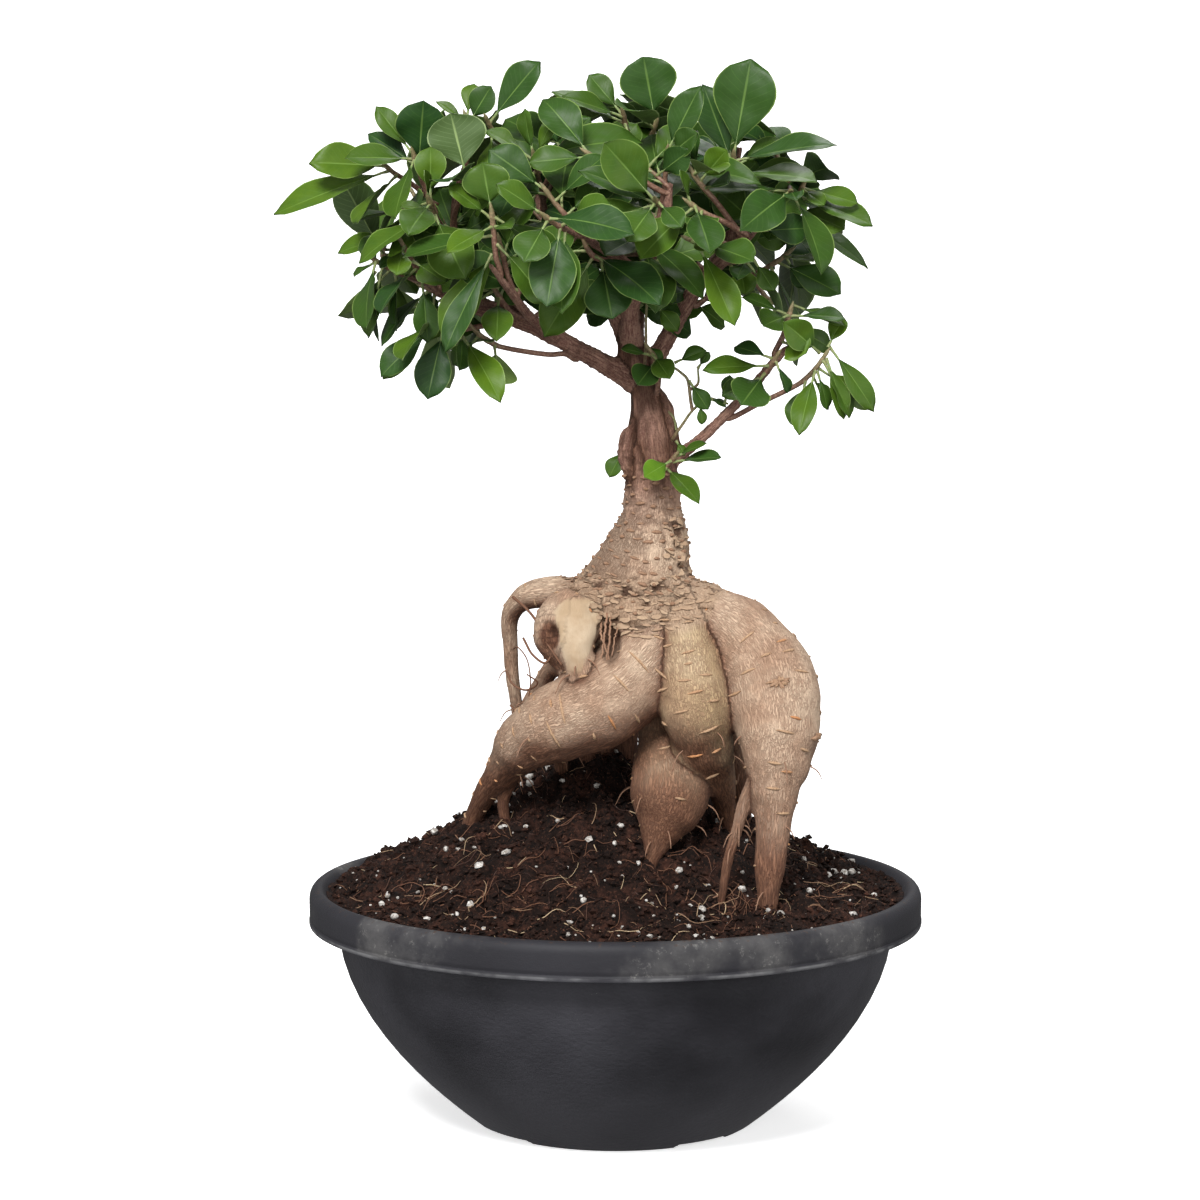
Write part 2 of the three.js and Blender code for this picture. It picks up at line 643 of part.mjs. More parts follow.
// A tube of flat-sided rings through points, each ring turned as little as it can be from the one before.
function tube(points, sides, grow = 0) {
  const rings = [];
  let side = new THREE.Vector3();
  points.forEach(({ at, radius }, i) => {
    const before = points[Math.max(i - 1, 0)].at;
    const after = points[Math.min(i + 1, points.length - 1)].at;
    const along = after.clone().sub(before).normalize();
    if (i === 0) side = Math.abs(along.z) < 0.9 ? new THREE.Vector3(0, 0, 1) : new THREE.Vector3(1, 0, 0);
    side = side.clone().addScaledVector(along, -side.dot(along)).normalize();
    const other = along.clone().cross(side);
    const ring = [];
    for (let k = 0; k < sides; k++) {
      const angle = (2 * Math.PI * k) / sides;
      ring.push(
        at
          .clone()
          .addScaledVector(side, Math.cos(angle) * (radius + grow))
          .addScaledVector(other, Math.sin(angle) * (radius + grow)),
      );
    }
    rings.push(ring);
  });
  return solidFromRings(rings);
}

// Bowl

// Outside radius of the bowl's wall at a height, up to where the skirt hides it
function wallRadiusAt(z) {
  const top = BOWL.height - BOWL.bandHeight;
  const share = Math.min(z / top, 1);
  return BOWL.wallRadius - (BOWL.wallRadius - BOWL.footRadius) * Math.pow(1 - share, BOWL.flare);
}

function innerRadiusAt(z) {
  const lip = BOWL.rimRadius - BOWL.lipWidth;
  const top = BOWL.height - BOWL.bandHeight;
  const rise = Math.max(0, (z - top) / (BOWL.height - top));
  return wallRadiusAt(z) - BOWL.wall + (lip - (BOWL.wallRadius - BOWL.wall)) * Math.sqrt(rise);
}

function lathe(profile) {
  const outline = profile.map(([r, z]) => new THREE.Vector2(r, z));
  const geometry = new THREE.LatheGeometry(outline, BOWL.segments);
  geometry.rotateX(Math.PI / 2);
  return solidFrom(geometry);
}

const INNER_LEVELS = [BOWL.floor, 26, 62, 116, 128];

function bowlSolid() {
  const skirtBottom = BOWL.height - BOWL.bandHeight;
  const outerLevels = [4, 14, 28, 48, 76];
  const rim = BOWL.rimRadius;
  const profile = [
    [0, 0], [FOOT.padRadius, 0], [FOOT.padRadius + 2, FOOT.recess], [FOOT.ringInner - 2, FOOT.recess],
    [FOOT.ringInner, 0], [BOWL.footRadius, 0],
    ...outerLevels.map((z) => [wallRadiusAt(z), z]),
    [BOWL.wallRadius, skirtBottom], [BOWL.wallRadius + 1, skirtBottom + 14], [rim - 5, skirtBottom + 14],
    [rim - 4, skirtBottom], [rim - 0.8, skirtBottom], [rim, skirtBottom + 2], [rim, BOWL.height - 5],
    [rim - 1.6, BOWL.height - 1.4], [rim - 4, BOWL.height], [rim - BOWL.lipWidth + 1, BOWL.height],
    ...[...INNER_LEVELS].reverse().map((z) => [innerRadiusAt(z), z]),
    [0, BOWL.floor],
  ];
  let bowl = lathe(profile);
  if (bowl.volume() < 0) throw new Error("the bowl's outline runs the wrong way");
  for (let i = 0; i < FOOT.notches; i++) {
    const angle = THREE.MathUtils.degToRad(FOOT.firstNotch + (i * 360) / FOOT.notches);
    const reach = BOWL.footRadius + 10 - FOOT.ringInner;
    const notch = new THREE.BoxGeometry(reach + 8, FOOT.notchWidth, FOOT.notchHeight * 2);
    notch.translate(FOOT.ringInner - 4 + reach / 2, 0, 0);
    notch.rotateZ(angle);
    const drain = new THREE.CylinderGeometry(DRAIN.radius, DRAIN.radius, BOWL.floor * 4, 8);
    drain.rotateX(Math.PI / 2);
    drain.translate(DRAIN.circle, 0, 0);
    drain.rotateZ(angle);
    bowl = bowl.subtract(solidFrom(notch)).subtract(solidFrom(drain));
  }
  return bowl;
}

// Soil

function soilHeight(x, y) {
  const away = Math.hypot(x - SOIL.moundX, y - SOIL.moundY) / SOIL.moundRadius;
  const mound = away < 1 ? (1 - away * away) ** 2 : 0;
  const fromHeap = Math.hypot(x - SOIL.heapX, y - SOIL.heapY) / SOIL.heapRadius;
  const heap = fromHeap < 1 ? (1 - fromHeap * fromHeap) ** 2 : 0;
  const lumps = Math.sin(x * 0.11 + 1.3) * Math.cos(y * 0.13) + 0.6 * Math.sin((x + y) * 0.23);
  const radius = Math.hypot(x, y);
  const settle = Math.min(1, Math.max(0, (BOWL.rimRadius - BOWL.lipWidth - radius) / 20));
  return SOIL.edge + SOIL.moundHeight * mound + SOIL.heapHeight * heap + SOIL.lump * lumps * settle;
}

function soilSolid() {
  const edge = innerRadiusAt(SOIL.edge) - GAP;
  const topRadii = [26, 54, 86, 122];
  const levels = INNER_LEVELS.filter((z) => z < SOIL.edge - 2);
  const ringAt = (radius, height) => {
    const ring = [];
    for (let i = 0; i < BOWL.segments; i++) {
      const angle = (2 * Math.PI * i) / BOWL.segments + Math.PI / 2;
      const x = radius * Math.cos(angle);
      const y = radius * Math.sin(angle);
      ring.push(new THREE.Vector3(x, y, height ?? soilHeight(x, y)));
    }
    return ring;
  };
  const rings = [
    ringAt(30, BOWL.floor + GAP),
    ...levels.map((z) => ringAt(innerRadiusAt(z) - GAP - 0.6, z + (z === BOWL.floor ? GAP : 0))),
    ringAt(edge, SOIL.edge - 3),
    ringAt(edge - 3),
    ...topRadii.reverse().map((radius) => ringAt(radius)),
  ];
  return solidFromRings(rings);
}

// Leaves and shoots

// A repeatable random draw from 0 to 1
function makeRandom(seed) {
  let state = seed * 7919 + 12345;
  return () => {
    state = (state * 16807) % 2147483647;
    return state / 2147483647;
  };
}

// Half width of a blade at share t of its length, as a share of its widest
function bladeOutline(t, peak) {
  if (t <= 0 || t >= 1) return 0;
  return Math.sin(Math.PI * t ** peak) ** 0.82;
}

// A leaf's frame: along is the way it points, normal is the way its upper face looks.
function makeLeaf(base, along, face, length, width, habit) {
  const normal = face.clone().addScaledVector(along, -face.dot(along)).normalize();
  return {
    base,
    along,
    normal,
    side: normal.clone().cross(along),
    length,
    width,
    petiole: habit.petiole,
    sag: habit.sag,
    cup: habit.cup,
    peak: habit.peak,
  };
}

// Height of the blade's middle surface over its own plane, at share t and sideways distance x
function bladeHeight(leaf, t, x) {
  const drop = Math.min(Math.max(t, 0), 1);
  return -leaf.sag * leaf.length * drop * drop + (leaf.cup * x * x * 2) / leaf.width;
}

function bladePoint(leaf, t, across) {
  const x = (across * leaf.width * bladeOutline(t, leaf.peak)) / 2;
  return leaf.base
    .clone()
    .addScaledVector(leaf.along, leaf.petiole + t * leaf.length)
    .addScaledVector(leaf.side, x)
    .addScaledVector(leaf.normal, bladeHeight(leaf, t, x));
}

const SAMPLE_SHARES = [0.1, 0.22, 0.36, 0.5, 0.64, 0.78, 0.9];
const SAMPLE_ACROSS = [-1, -0.5, 0, 0.5, 1];

function leafSamples(leaf) {
  const samples = [];
  for (const t of SAMPLE_SHARES) {
    for (const across of SAMPLE_ACROSS) samples.push(bladePoint(leaf, t, across));
  }
  samples.push(bladePoint(leaf, 1, 0));
  return samples;
}

// How far a point is over the blade, or null where it isn't over or under it
function heightOver(leaf, point, margin) {
  const offset = point.clone().sub(leaf.base);
  const t = (offset.dot(leaf.along) - leaf.petiole) / leaf.length;
  const end = margin / leaf.length;
  if (t < -end || t > 1 + end) return null;
  const inside = Math.min(Math.max(t, 0.04), 0.96);
  const x = offset.dot(leaf.side);
  if (Math.abs(x) > (leaf.width * bladeOutline(inside, leaf.peak)) / 2 + margin) return null;
  return offset.dot(leaf.normal) - bladeHeight(leaf, t, x);
}

// True if points lie on both sides of the blade, or nearer to it than clearance
function crosses(leaf, points, clearance) {
  let over = false;
  let under = false;
  for (const point of points) {
    const height = heightOver(leaf, point, 2);
    if (height === null) continue;
    if (height > -clearance) over = true;
    if (height < clearance) under = true;
    if (over && under) return true;
  }
  return false;
}

function nearStem(leaf, stem, from) {
  const clearance = from ? LEAF.nearClearance : LEAF.clearance;
  for (const { at, radius } of stem) {
    if (from && at.distanceTo(from) < LEAF.petiole + 3) continue;
    const height = heightOver(leaf, at, radius + 1);
    if (height !== null && Math.abs(height) < radius + clearance) return true;
  }
  return false;
}

function stalksTouch(leaf, other) {
  const end = bladePoint(leaf, 0, 0);
  const otherEnd = bladePoint(other, 0, 0);
  const middle = leaf.base.clone().lerp(end, 0.5);
  const otherMiddle = other.base.clone().lerp(otherEnd, 0.5);
  const across = Math.min(end.distanceTo(otherMiddle), middle.distanceTo(otherEnd));
  return Math.min(end.distanceTo(otherEnd), across) < LEAF.stalkClearance;
}

function isClear(leaf, shoot, placed, stems) {
  const samples = leafSamples(leaf);
  for (const stem of stems) {
    if (nearStem(leaf, stem.points, stem.owner === shoot ? leaf.base : null)) return false;
  }
  const reach = leaf.length + leaf.petiole;
  for (const other of placed) {
    if (other.leaf.base.distanceTo(leaf.base) > reach + other.leaf.length + other.leaf.petiole) continue;
    const near = other.shoot === shoot ? LEAF.nearClearance : LEAF.clearance;
    if (other.shoot === shoot && stalksTouch(leaf, other.leaf)) return false;
    if (crosses(leaf, other.samples, near) || crosses(other.leaf, samples, near)) return false;
  }
  return true;
}

// The rings of a blade, thick along the midrib and thin at the edges, from the end of its stalk
function bladeRings(leaf) {
  const half = BLADE_THICKNESS / 2;
  const shares = leaf.width > LEAF.broad ? [0.24, 0.52, 0.8] : [0.34, 0.74];
  const stalkEnd = bladePoint(leaf, 0, 0);
  const ringAt = (middle, left, right, rise) => [
    left,
    middle.clone().addScaledVector(leaf.normal, rise),
    right,
    middle.clone().addScaledVector(leaf.normal, -rise),
  ];
  const reach = (sign) => stalkEnd.clone().addScaledVector(leaf.side, sign * STALK_RADIUS);
  const rings = [ringAt(stalkEnd, reach(1), reach(-1), STALK_RADIUS)];
  for (const t of shares) {
    rings.push(ringAt(bladePoint(leaf, t, 0), bladePoint(leaf, t, 1), bladePoint(leaf, t, -1), half));
  }
  return rings;
}

// The faces of one leaf's skin, as corner indices, with its new points added to points
function leafFaces(leaf, points) {
  const faces = [];
  const rings = bladeRings(leaf);
  let lower = turnedToMatch(leaf.root.corners, rings[0], points);
  for (const ring of rings) {
    const upper = ring.map((point) => points.push(point) - 1);
    for (let i = 0; i < 4; i++) {
      const k = (i + 1) % 4;
      if (i % 2 === 0) faces.push([lower[i], lower[k], upper[k]], [lower[i], upper[k], upper[i]]);
      else faces.push([lower[i], lower[k], upper[i]], [lower[k], upper[k], upper[i]]);
    }
    lower = upper;
  }
  const tip = points.push(bladePoint(leaf, 1, 0)) - 1;
  for (let i = 0; i < 4; i++) faces.push([lower[i], lower[(i + 1) % 4], tip]);
  return faces;
}

function rootFaces(root) {
  const [a, b, c, d] = root.corners;
  return [[a, b, c], [a, c, d]];
}

// A shoot is one skin: a four-sided twig, where each leaf's stalk grows out of one face of the twig.
function shootSolid(twig, leaves) {
  const points = twig.rings.flat();
  const faces = [[0, 2, 1], [0, 3, 2]];
  const used = new Set(leaves.map((leaf) => leaf.root));
  for (const root of twig.roots) if (!used.has(root)) faces.push(...rootFaces(root));
  for (const leaf of leaves) faces.push(...leafFaces(leaf, points));
  const geometry = new THREE.BufferGeometry();
  const positions = points.flatMap((p) => [p.x, p.y, p.z]);
  geometry.setAttribute("position", new THREE.Float32BufferAttribute(positions, 3));
  geometry.setIndex(faces.flat());
  return solidFrom(geometry);
}

// A leaf's or a twig's faces as triangles, each with its box, for the exact test that skins don't cross
function skinOf(faces, points) {
  const skin = faces.map((face) => {
    const corners = face.map((i) => points[i]);
    return { corners, box: new THREE.Box3().setFromPoints(corners) };
  });
  skin.box = skin.reduce((whole, { box }) => whole.union(box), new THREE.Box3());
  return skin;
}

function edgesPierce(a, b) {
  const hit = new THREE.Vector3();
  const ray = new THREE.Ray();
  for (let e = 0; e < 3; e++) {
    const start = a.corners[e];
    const run = a.corners[(e + 1) % 3].clone().sub(start);
    const length = run.length();
    if (length < 1e-6) continue;
    ray.set(start, run.divideScalar(length));
    if (ray.intersectTriangle(...b.corners, false, hit) && hit.distanceTo(start) < length) return true;
  }
  return false;
}

function skinsCross(one, other) {
  if (one.box && other.box && !one.box.intersectsBox(other.box)) return false;
  for (const a of one) {
    for (const b of other) {
      if (!a.box.intersectsBox(b.box)) continue;
      const shared = a.corners.some((p) => b.corners.some((q) => p.distanceToSquared(q) < 1e-8));
      if (!shared && (edgesPierce(a, b) || edgesPierce(b, a))) return true;
    }
  }
  return false;
}

// Whether a leaf's skin is clear of its own twig and of the leaves that the twig bears already
function skinIsClear(shoot, leaf) {
  const points = shoot.twig.rings.flat();
  const skin = skinOf(leafFaces(leaf, points), points);
  const free = shoot.twig.roots.filter((root) => root !== leaf.root && !shoot.taken.has(root));
  if (skinsCross(skin, skinOf(free.flatMap(rootFaces), points))) return false;
  for (const other of shoot.skins) if (skinsCross(skin, other)) return false;
  for (let i = 0; i < skin.length; i++) if (skinsCross([skin[i]], skin.slice(i + 1))) return false;
  return skin;
}

// The corners of a face of the twig in the turn that lies nearest to a stalk's end
function turnedToMatch(corners, ring, points) {
  let best = null;
  for (let turn = 0; turn < 4; turn++) {
    const order = [0, 1, 2, 3].map((i) => corners[(i + turn) % 4]);
    const total = order.reduce((sum, corner, i) => sum + points[corner].distanceToSquared(ring[i]), 0);
    if (!best || total < best.total) best = { order, total };
  }
  return best.order;
}

const TWIG_BENDS = [[0, 0, 0], [12, 0, 0], [-12, 0, 0], [0, 12, 0], [0, -12, 0], [0, 0, 10], [0, 0, -12]];

// The run of a twig from its branch to its tip: it leaves partly along the branch, then turns to the tip.
// Of the places to start and the ways to bend, the one is taken that gives it its length, turns it least and
// keeps it clear of the other stems.
function twigCurve(limb, end, leastLength, stems) {
  const run = new THREE.CatmullRomCurve3(limb.path.map(vector), false, "centripetal");
  let best = null;
  for (let share = 0.04; share <= 1; share += 0.03) {
    const at = run.getPointAt(share);
    const along = run.getTangentAt(share);
    const chord = end.clone().sub(at);
    const span = chord.length();
    const turn = 1 - chord.clone().normalize().dot(along);
    const cost = span + Math.max(0, leastLength - span) * 6 + TWIG.turnCost * turn;
    for (const bend of TWIG_BENDS) {
      const first = at.clone().addScaledVector(along, span * 0.25);
      const second = end.clone().lerp(at, 0.3).add(vector(bend));
      second.z -= span * 0.08;
      const curve = new THREE.CubicBezierCurve3(at, first, second, end);
      const total = cost + (bend.some(Boolean) ? 4 : 0);
      if (best && total >= best.total) continue;
      const crowding = crowdingOf(curve, limb, stems);
      if (!best || total + crowding < best.total) best = { curve, total: total + crowding };
    }
  }
  return best.curve;
}

// A charge for each place where a twig would come too near to another stem
function crowdingOf(curve, limb, stems) {
  let charge = 0;
  for (let i = 0; i <= 24; i++) {
    const at = curve.getPoint(i / 24);
    for (const stem of stems) {
      if (stem.limb === limb) continue;
      for (const point of stem.points) {
        const near = point.radius + TWIG.baseRadius + TWIG.nearest;
        if (at.distanceTo(point.at) < near) {
          charge += TWIG.crowdingCost;
          break;
        }
      }
    }
  }
  return charge;
}

// A twig's rings. Its faces near the tip can each bear a leaf.
function growTwig({ from, tip, leaves, placed }, stems) {
  const end = vector(tip);
  const limb = from === "trunk" ? TRUNK : BRANCHES[from];
  const count = leaves + placed.length;
  const curve = twigCurve(limb, end, from === "trunk" ? 20 : TWIG.leastLength + 2.5 * count, stems);
  const length = curve.getLength();
  const leafy = Math.max(1, Math.min(Math.ceil(count * 0.6) + 1, Math.floor((length - 8) / TWIG.leafStep)));
  const bare = length - leafy * TWIG.leafStep;
  const bareSteps = Math.max(1, Math.round(bare / TWIG.step));
  const marks = [];
  for (let i = 0; i <= bareSteps; i++) marks.push((bare * i) / bareSteps);
  for (let i = 1; i <= leafy; i++) marks.push(bare + i * TWIG.leafStep);
  const rings = [];
  const points = [];
  let side = new THREE.Vector3(0.3, -0.2, 1);
  marks.forEach((mark, j) => {
    const share = Math.min(1, mark / length);
    const at = curve.getPointAt(share);
    const along = curve.getTangentAt(share);
    const radius = TWIG.baseRadius + (TWIG.tipRadius - TWIG.baseRadius) * share;
    side = side.clone().addScaledVector(along, -side.dot(along)).normalize();
    side.applyAxisAngle(along, THREE.MathUtils.degToRad(j > bareSteps ? TWIG.twist : 0));
    const other = along.clone().cross(side);
    const ring = [0, 1, 2, 3].map((k) => {
      const angle = (k * Math.PI) / 2;
      return at
        .clone()
        .addScaledVector(side, Math.cos(angle) * radius)
        .addScaledVector(other, Math.sin(angle) * radius);
    });
    rings.push(ring);
    points.push({ at, radius });
  });
  return { rings, points, curve, length, roots: twigRoots(rings, curve, bareSteps) };
}

// The faces of a twig, of which those past its bare part can each bear a leaf, and the one at its end
function twigRoots(rings, curve, bareSteps) {
  const roots = [];
  const all = rings.flat();
  const last = rings.length - 1;
  for (let j = 0; j < last; j++) {
    for (let k = 0; k < 4; k++) {
      const next = (k + 1) % 4;
      const corners = [j * 4 + k, j * 4 + next, j * 4 + 4 + next, j * 4 + 4 + k];
      const [a, b, c, d] = corners.map((corner) => all[corner]);
      const centre = a.clone().add(b).add(c).add(d).multiplyScalar(0.25);
      const normal = c.clone().sub(a).cross(d.clone().sub(b)).normalize();
      roots.push({ corners, centre, normal, step: last - 1 - j, leafy: j >= bareSteps });
    }
  }
  const cap = [0, 1, 2, 3].map((k) => last * 4 + k);
  const centre = curve.getPointAt(1);
  const normal = curve.getTangentAt(1);
  return [...roots, { corners: cap, centre, normal, step: 0, leafy: true, end: true }];
}

// Closely spaced points along a stem, for the test that no leaf crosses it
function densePoints(points) {
  const dense = [];
  for (let i = 0; i + 1 < points.length; i++) {
    const span = points[i].at.distanceTo(points[i + 1].at);
    const count = Math.max(1, Math.ceil(span / 3));
    for (let k = 0; k < count; k++) {
      const share = k / count;
      dense.push({
        at: points[i].at.clone().lerp(points[i + 1].at, share),
        radius: points[i].radius + (points[i + 1].radius - points[i].radius) * share,
      });
    }
  }
  dense.push(points[points.length - 1]);
  return dense;
}

// The face of the twig that best looks along a direction, from those still free
function bestRoot(twig, taken, directionFrom) {
  let best = null;
  for (const root of twig.roots) {
    if (!root.leafy || taken.has(root)) continue;
    const facing = root.normal.dot(directionFrom(root.centre)) - root.step * 0.04 - (root.end ? 0.1 : 0);
    if (facing > LEAF.leastFacing && (!best || facing > best.facing)) best = { root, facing };
  }
  return best && best.root;
}

// A leaf that reaches a given point. Where it would cross another, its tip moves in depth.
function placedLeaf(twig, taken, spec, attempt, draw) {
  const target = vector(spec.to);
  target.y += LEAF.depthTries[attempt];
  const root = bestRoot(twig, taken, (centre) => target.clone().sub(centre).normalize());
  if (!root) return null;
  const reach = target.clone().sub(root.centre);
  const petiole = Math.min(LEAF.petiole, reach.length() * 0.2);
  const length = reach.length() - petiole;
  const habit = { petiole, sag: 0.1, cup: LEAF.cup * (0.6 + 0.5 * draw.a), peak: 1.1 + 0.4 * draw.b };
  const face = vector(spec.face).normalize();
  const first = makeLeaf(root.centre, reach.normalize(), face, length, spec.width, habit);
  // Raised by its sag, so that the blade arches over the straight line to its tip
  const raised = first.along.clone().addScaledVector(first.normal, habit.sag * 0.9).normalize();
  return { ...makeLeaf(root.centre, raised, first.normal, length, spec.width, habit), root };
}

// The rule: leaves stand round the twig from its tip down, the youngest upright and small, the older open
// and low.
function ruleLeaf(twig, taken, order, total, phase, size, attempt, draw) {
  const turn = [0, 30, -30, 60, -60, 90, -90, 120, -120, 150, -150, 180, 15, -15, 45][attempt];
  const lift = attempt % 3 === 1 ? 12 : attempt % 3 === 2 ? -12 : 0;
  const spin = THREE.MathUtils.degToRad(phase + order * GOLDEN_ANGLE + turn);
  const open = THREE.MathUtils.degToRad(LEAF.openAngle + order * LEAF.openStep + lift);
  const age = order / Math.max(total - 1, 1);
  const axis = twig.curve.getTangentAt(1);
  const across = Math.abs(axis.z) < 0.9 ? new THREE.Vector3(0, 0, 1) : new THREE.Vector3(1, 0, 0);
  const first = across.addScaledVector(axis, -across.dot(axis)).normalize();
  const second = axis.clone().cross(first);
  const along = axis
    .clone()
    .multiplyScalar(Math.cos(open))
    .addScaledVector(first, Math.sin(open) * Math.cos(spin))
    .addScaledVector(second, Math.sin(open) * Math.sin(spin));
  along.z -= LEAF.droop * (0.3 + age);
  along.normalize();
  const root = bestRoot(twig, taken, () => along);
  if (!root) return null;
  const outward = root.centre.clone().sub(vector([CROWN.x, CROWN.y, root.centre.z])).normalize();
  const face = axis.clone().multiplyScalar(0.4).addScaledVector(outward, 0.7);
  face.z += 0.7;
  const shrink = attempt > 8 ? 0.8 : attempt > 4 ? 0.9 : 1;
  const grownSize = 0.78 + 0.3 * Math.sin(Math.PI * Math.min(1, 0.25 + age)) + 0.16 * (draw.a - 0.5);
  const scale = size * shrink * grownSize;
  const habit = {
    petiole: LEAF.petiole * (0.8 + 0.5 * draw.b),
    sag: LEAF.sag * (0.4 + 1.2 * draw.c),
    cup: LEAF.cup * (0.5 + draw.d),
    peak: 1.1 + 0.45 * draw.e,
  };
  const slim = 0.86 + 0.3 * draw.f;
  const leaf = makeLeaf(root.centre, along, face, LEAF.length * scale, LEAF.width * scale * slim, habit);
  return { ...leaf, root };
}

// True where a leaf of the rule ends inside the crown, and clear of the open space round the main branches
function inCrown(leaf) {
  const tip = bladePoint(leaf, 1, 0);
  const away = ((tip.x - CROWN.x) / CROWN.halfWidth) ** 2 + ((tip.y - CROWN.y) / CROWN.halfDepth) ** 2;
  if (away + ((tip.z - CROWN.z) / CROWN.halfHeight) ** 2 > 1) return false;
  return Math.abs(tip.x - CROWN.openX) > CROWN.openHalfWidth || tip.z > CROWN.openTop;
}

function growShoots(stems) {
  const placed = [];
  const skins = [];
  const grown = {};
  const names = Object.keys(SHOOTS);
  for (const name of names) {
    const twig = growTwig(SHOOTS[name], stems);
    grown[name] = { twig, leaves: [], taken: new Set(), skins: [] };
    stems.push({ owner: name, points: densePoints(twig.points) });
    skins.push({ shoot: name, skin: skinOf(twig.roots.flatMap(rootFaces), twig.rings.flat()) });
  }
  const keepIfClear = (name, leaf) => {
    if (!leaf || !isClear(leaf, name, placed, stems)) return false;
    const skin = skinIsClear(grown[name], leaf);
    if (!skin || skins.some((other) => other.shoot !== name && skinsCross(skin, other.skin))) return false;
    grown[name].skins.push(skin);
    skins.push({ shoot: name, skin });
    placed.push({ leaf, shoot: name, samples: leafSamples(leaf) });
    grown[name].leaves.push(leaf);
    grown[name].taken.add(leaf.root);
    return true;
  };
  names.forEach((name, index) => {
    const random = makeRandom(index + 1);
    const { twig, taken } = grown[name];
    for (const spec of SHOOTS[name].placed) {
      const draw = { a: random(), b: random() };
      for (let attempt = 0; attempt < LEAF.depthTries.length; attempt++) {
        if (keepIfClear(name, placedLeaf(twig, taken, spec, attempt, draw))) break;
      }
    }
  });
  names.forEach((name, index) => {
    const random = makeRandom(index + 101);
    const { twig, taken } = grown[name];
    const { leaves, size, placed: fixed } = SHOOTS[name];
    const phase = 360 * random();
    for (let order = 0; order < leaves; order++) {
      const draw = { a: random(), b: random(), c: random(), d: random(), e: random(), f: random() };
      for (let attempt = 0; attempt < LEAF.tries; attempt++) {
        const age = order + fixed.length * 0.5;
        const leaf = ruleLeaf(twig, taken, age, leaves, phase, size, attempt, draw);
        if (leaf && inCrown(leaf) && keepIfClear(name, leaf)) break;
      }
    }
  });
  return grown;
}

// The whole plant in its bowl

const limbs = [TRUNK, ...Object.values(ROOTS), ...Object.values(BRANCHES)];
const limbTubes = (list, grow) =>
  list.map((limb) => tube(limbPoints(limb.path, limb.step), limb.sides, grow));

const wood = joined(limbTubes(limbs, 0));
const aroundWood = joined(limbTubes([TRUNK, ...Object.values(BRANCHES)], GAP));
const aroundRoots = joined(limbTubes(Object.values(ROOTS), GAP));

const stems = [TRUNK, ...Object.values(BRANCHES)].map((limb) => ({
  owner: null,
  limb,
  points: densePoints(limbPoints(limb.path, limb.step)),
}));
const grown = growShoots(stems);

const plant = new THREE.Group();
plant.name = "ginseng_ficus";

function addPiece(name, solid, finish) {
  const mesh = new THREE.Mesh(geometryOf(solid), new THREE.MeshStandardMaterial(finish));
  mesh.name = name;
  plant.add(mesh);
}

addPiece("bowl", bowlSolid(), COLOURS.bowl);
addPiece("soil", largestBody(soilSolid().subtract(aroundRoots)), COLOURS.soil);
addPiece("trunk_and_roots", wood, COLOURS.wood);
for (const [name, { twig, leaves }] of Object.entries(grown)) {
  const shoot = shootSolid(twig, leaves).subtract(aroundWood);
  addPiece("shoot_" + name.slice(1), largestBody(shoot), COLOURS.leaf);
}

export default plant;
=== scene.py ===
"""A ginseng ficus in a dark plastic bowl, dressed round its solid frame.

Every length in this file is in millimetres, and becomes metres where a mesh is made. The frame's own axes
hold throughout: +Z up, +X to the right and +Y away from the viewer, from the centre of the bowl's underside.
"""
import json
import random
from itertools import product
from math import cos, exp, hypot, pi, radians, sin, sqrt, tau

import bmesh
import bpy
import numpy as np
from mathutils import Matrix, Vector
from mathutils.bvhtree import BVHTree
from numpy.linalg import norm

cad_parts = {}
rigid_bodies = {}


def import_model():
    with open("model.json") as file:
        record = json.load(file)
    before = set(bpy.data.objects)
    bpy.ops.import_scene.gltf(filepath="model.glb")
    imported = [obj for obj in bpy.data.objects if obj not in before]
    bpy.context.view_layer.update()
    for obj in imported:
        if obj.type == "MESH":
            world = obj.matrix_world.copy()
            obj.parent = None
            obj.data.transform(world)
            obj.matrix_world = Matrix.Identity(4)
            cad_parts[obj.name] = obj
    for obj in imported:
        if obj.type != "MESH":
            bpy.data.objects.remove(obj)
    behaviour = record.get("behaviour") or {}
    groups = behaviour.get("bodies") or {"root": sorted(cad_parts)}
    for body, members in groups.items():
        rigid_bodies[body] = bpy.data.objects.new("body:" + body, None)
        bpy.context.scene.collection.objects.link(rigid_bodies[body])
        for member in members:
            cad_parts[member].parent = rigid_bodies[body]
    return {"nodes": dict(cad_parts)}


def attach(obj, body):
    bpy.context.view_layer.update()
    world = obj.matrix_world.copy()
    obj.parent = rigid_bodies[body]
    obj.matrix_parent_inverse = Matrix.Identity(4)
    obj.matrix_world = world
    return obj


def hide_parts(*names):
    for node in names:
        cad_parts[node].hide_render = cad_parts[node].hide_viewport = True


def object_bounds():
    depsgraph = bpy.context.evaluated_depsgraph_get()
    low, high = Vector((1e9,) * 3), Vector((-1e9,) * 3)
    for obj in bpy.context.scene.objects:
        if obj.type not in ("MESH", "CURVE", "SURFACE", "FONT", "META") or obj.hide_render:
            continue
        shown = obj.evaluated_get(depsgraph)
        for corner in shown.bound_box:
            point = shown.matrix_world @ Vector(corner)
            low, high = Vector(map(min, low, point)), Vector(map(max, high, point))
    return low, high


bl_info = {
    "name": "Ginseng Ficus",
    "version": (1, 0, 0),
    "blender": (4, 5, 0),
    "location": "View3D > Sidebar > Ficus",
    "description": "Grows a ginseng ficus and its bowl round a solid frame",
    "category": "Add Mesh",
}

for thing in list(bpy.data.objects):
    bpy.data.objects.remove(thing)
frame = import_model()
FRAME_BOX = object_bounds()

MM = 0.001

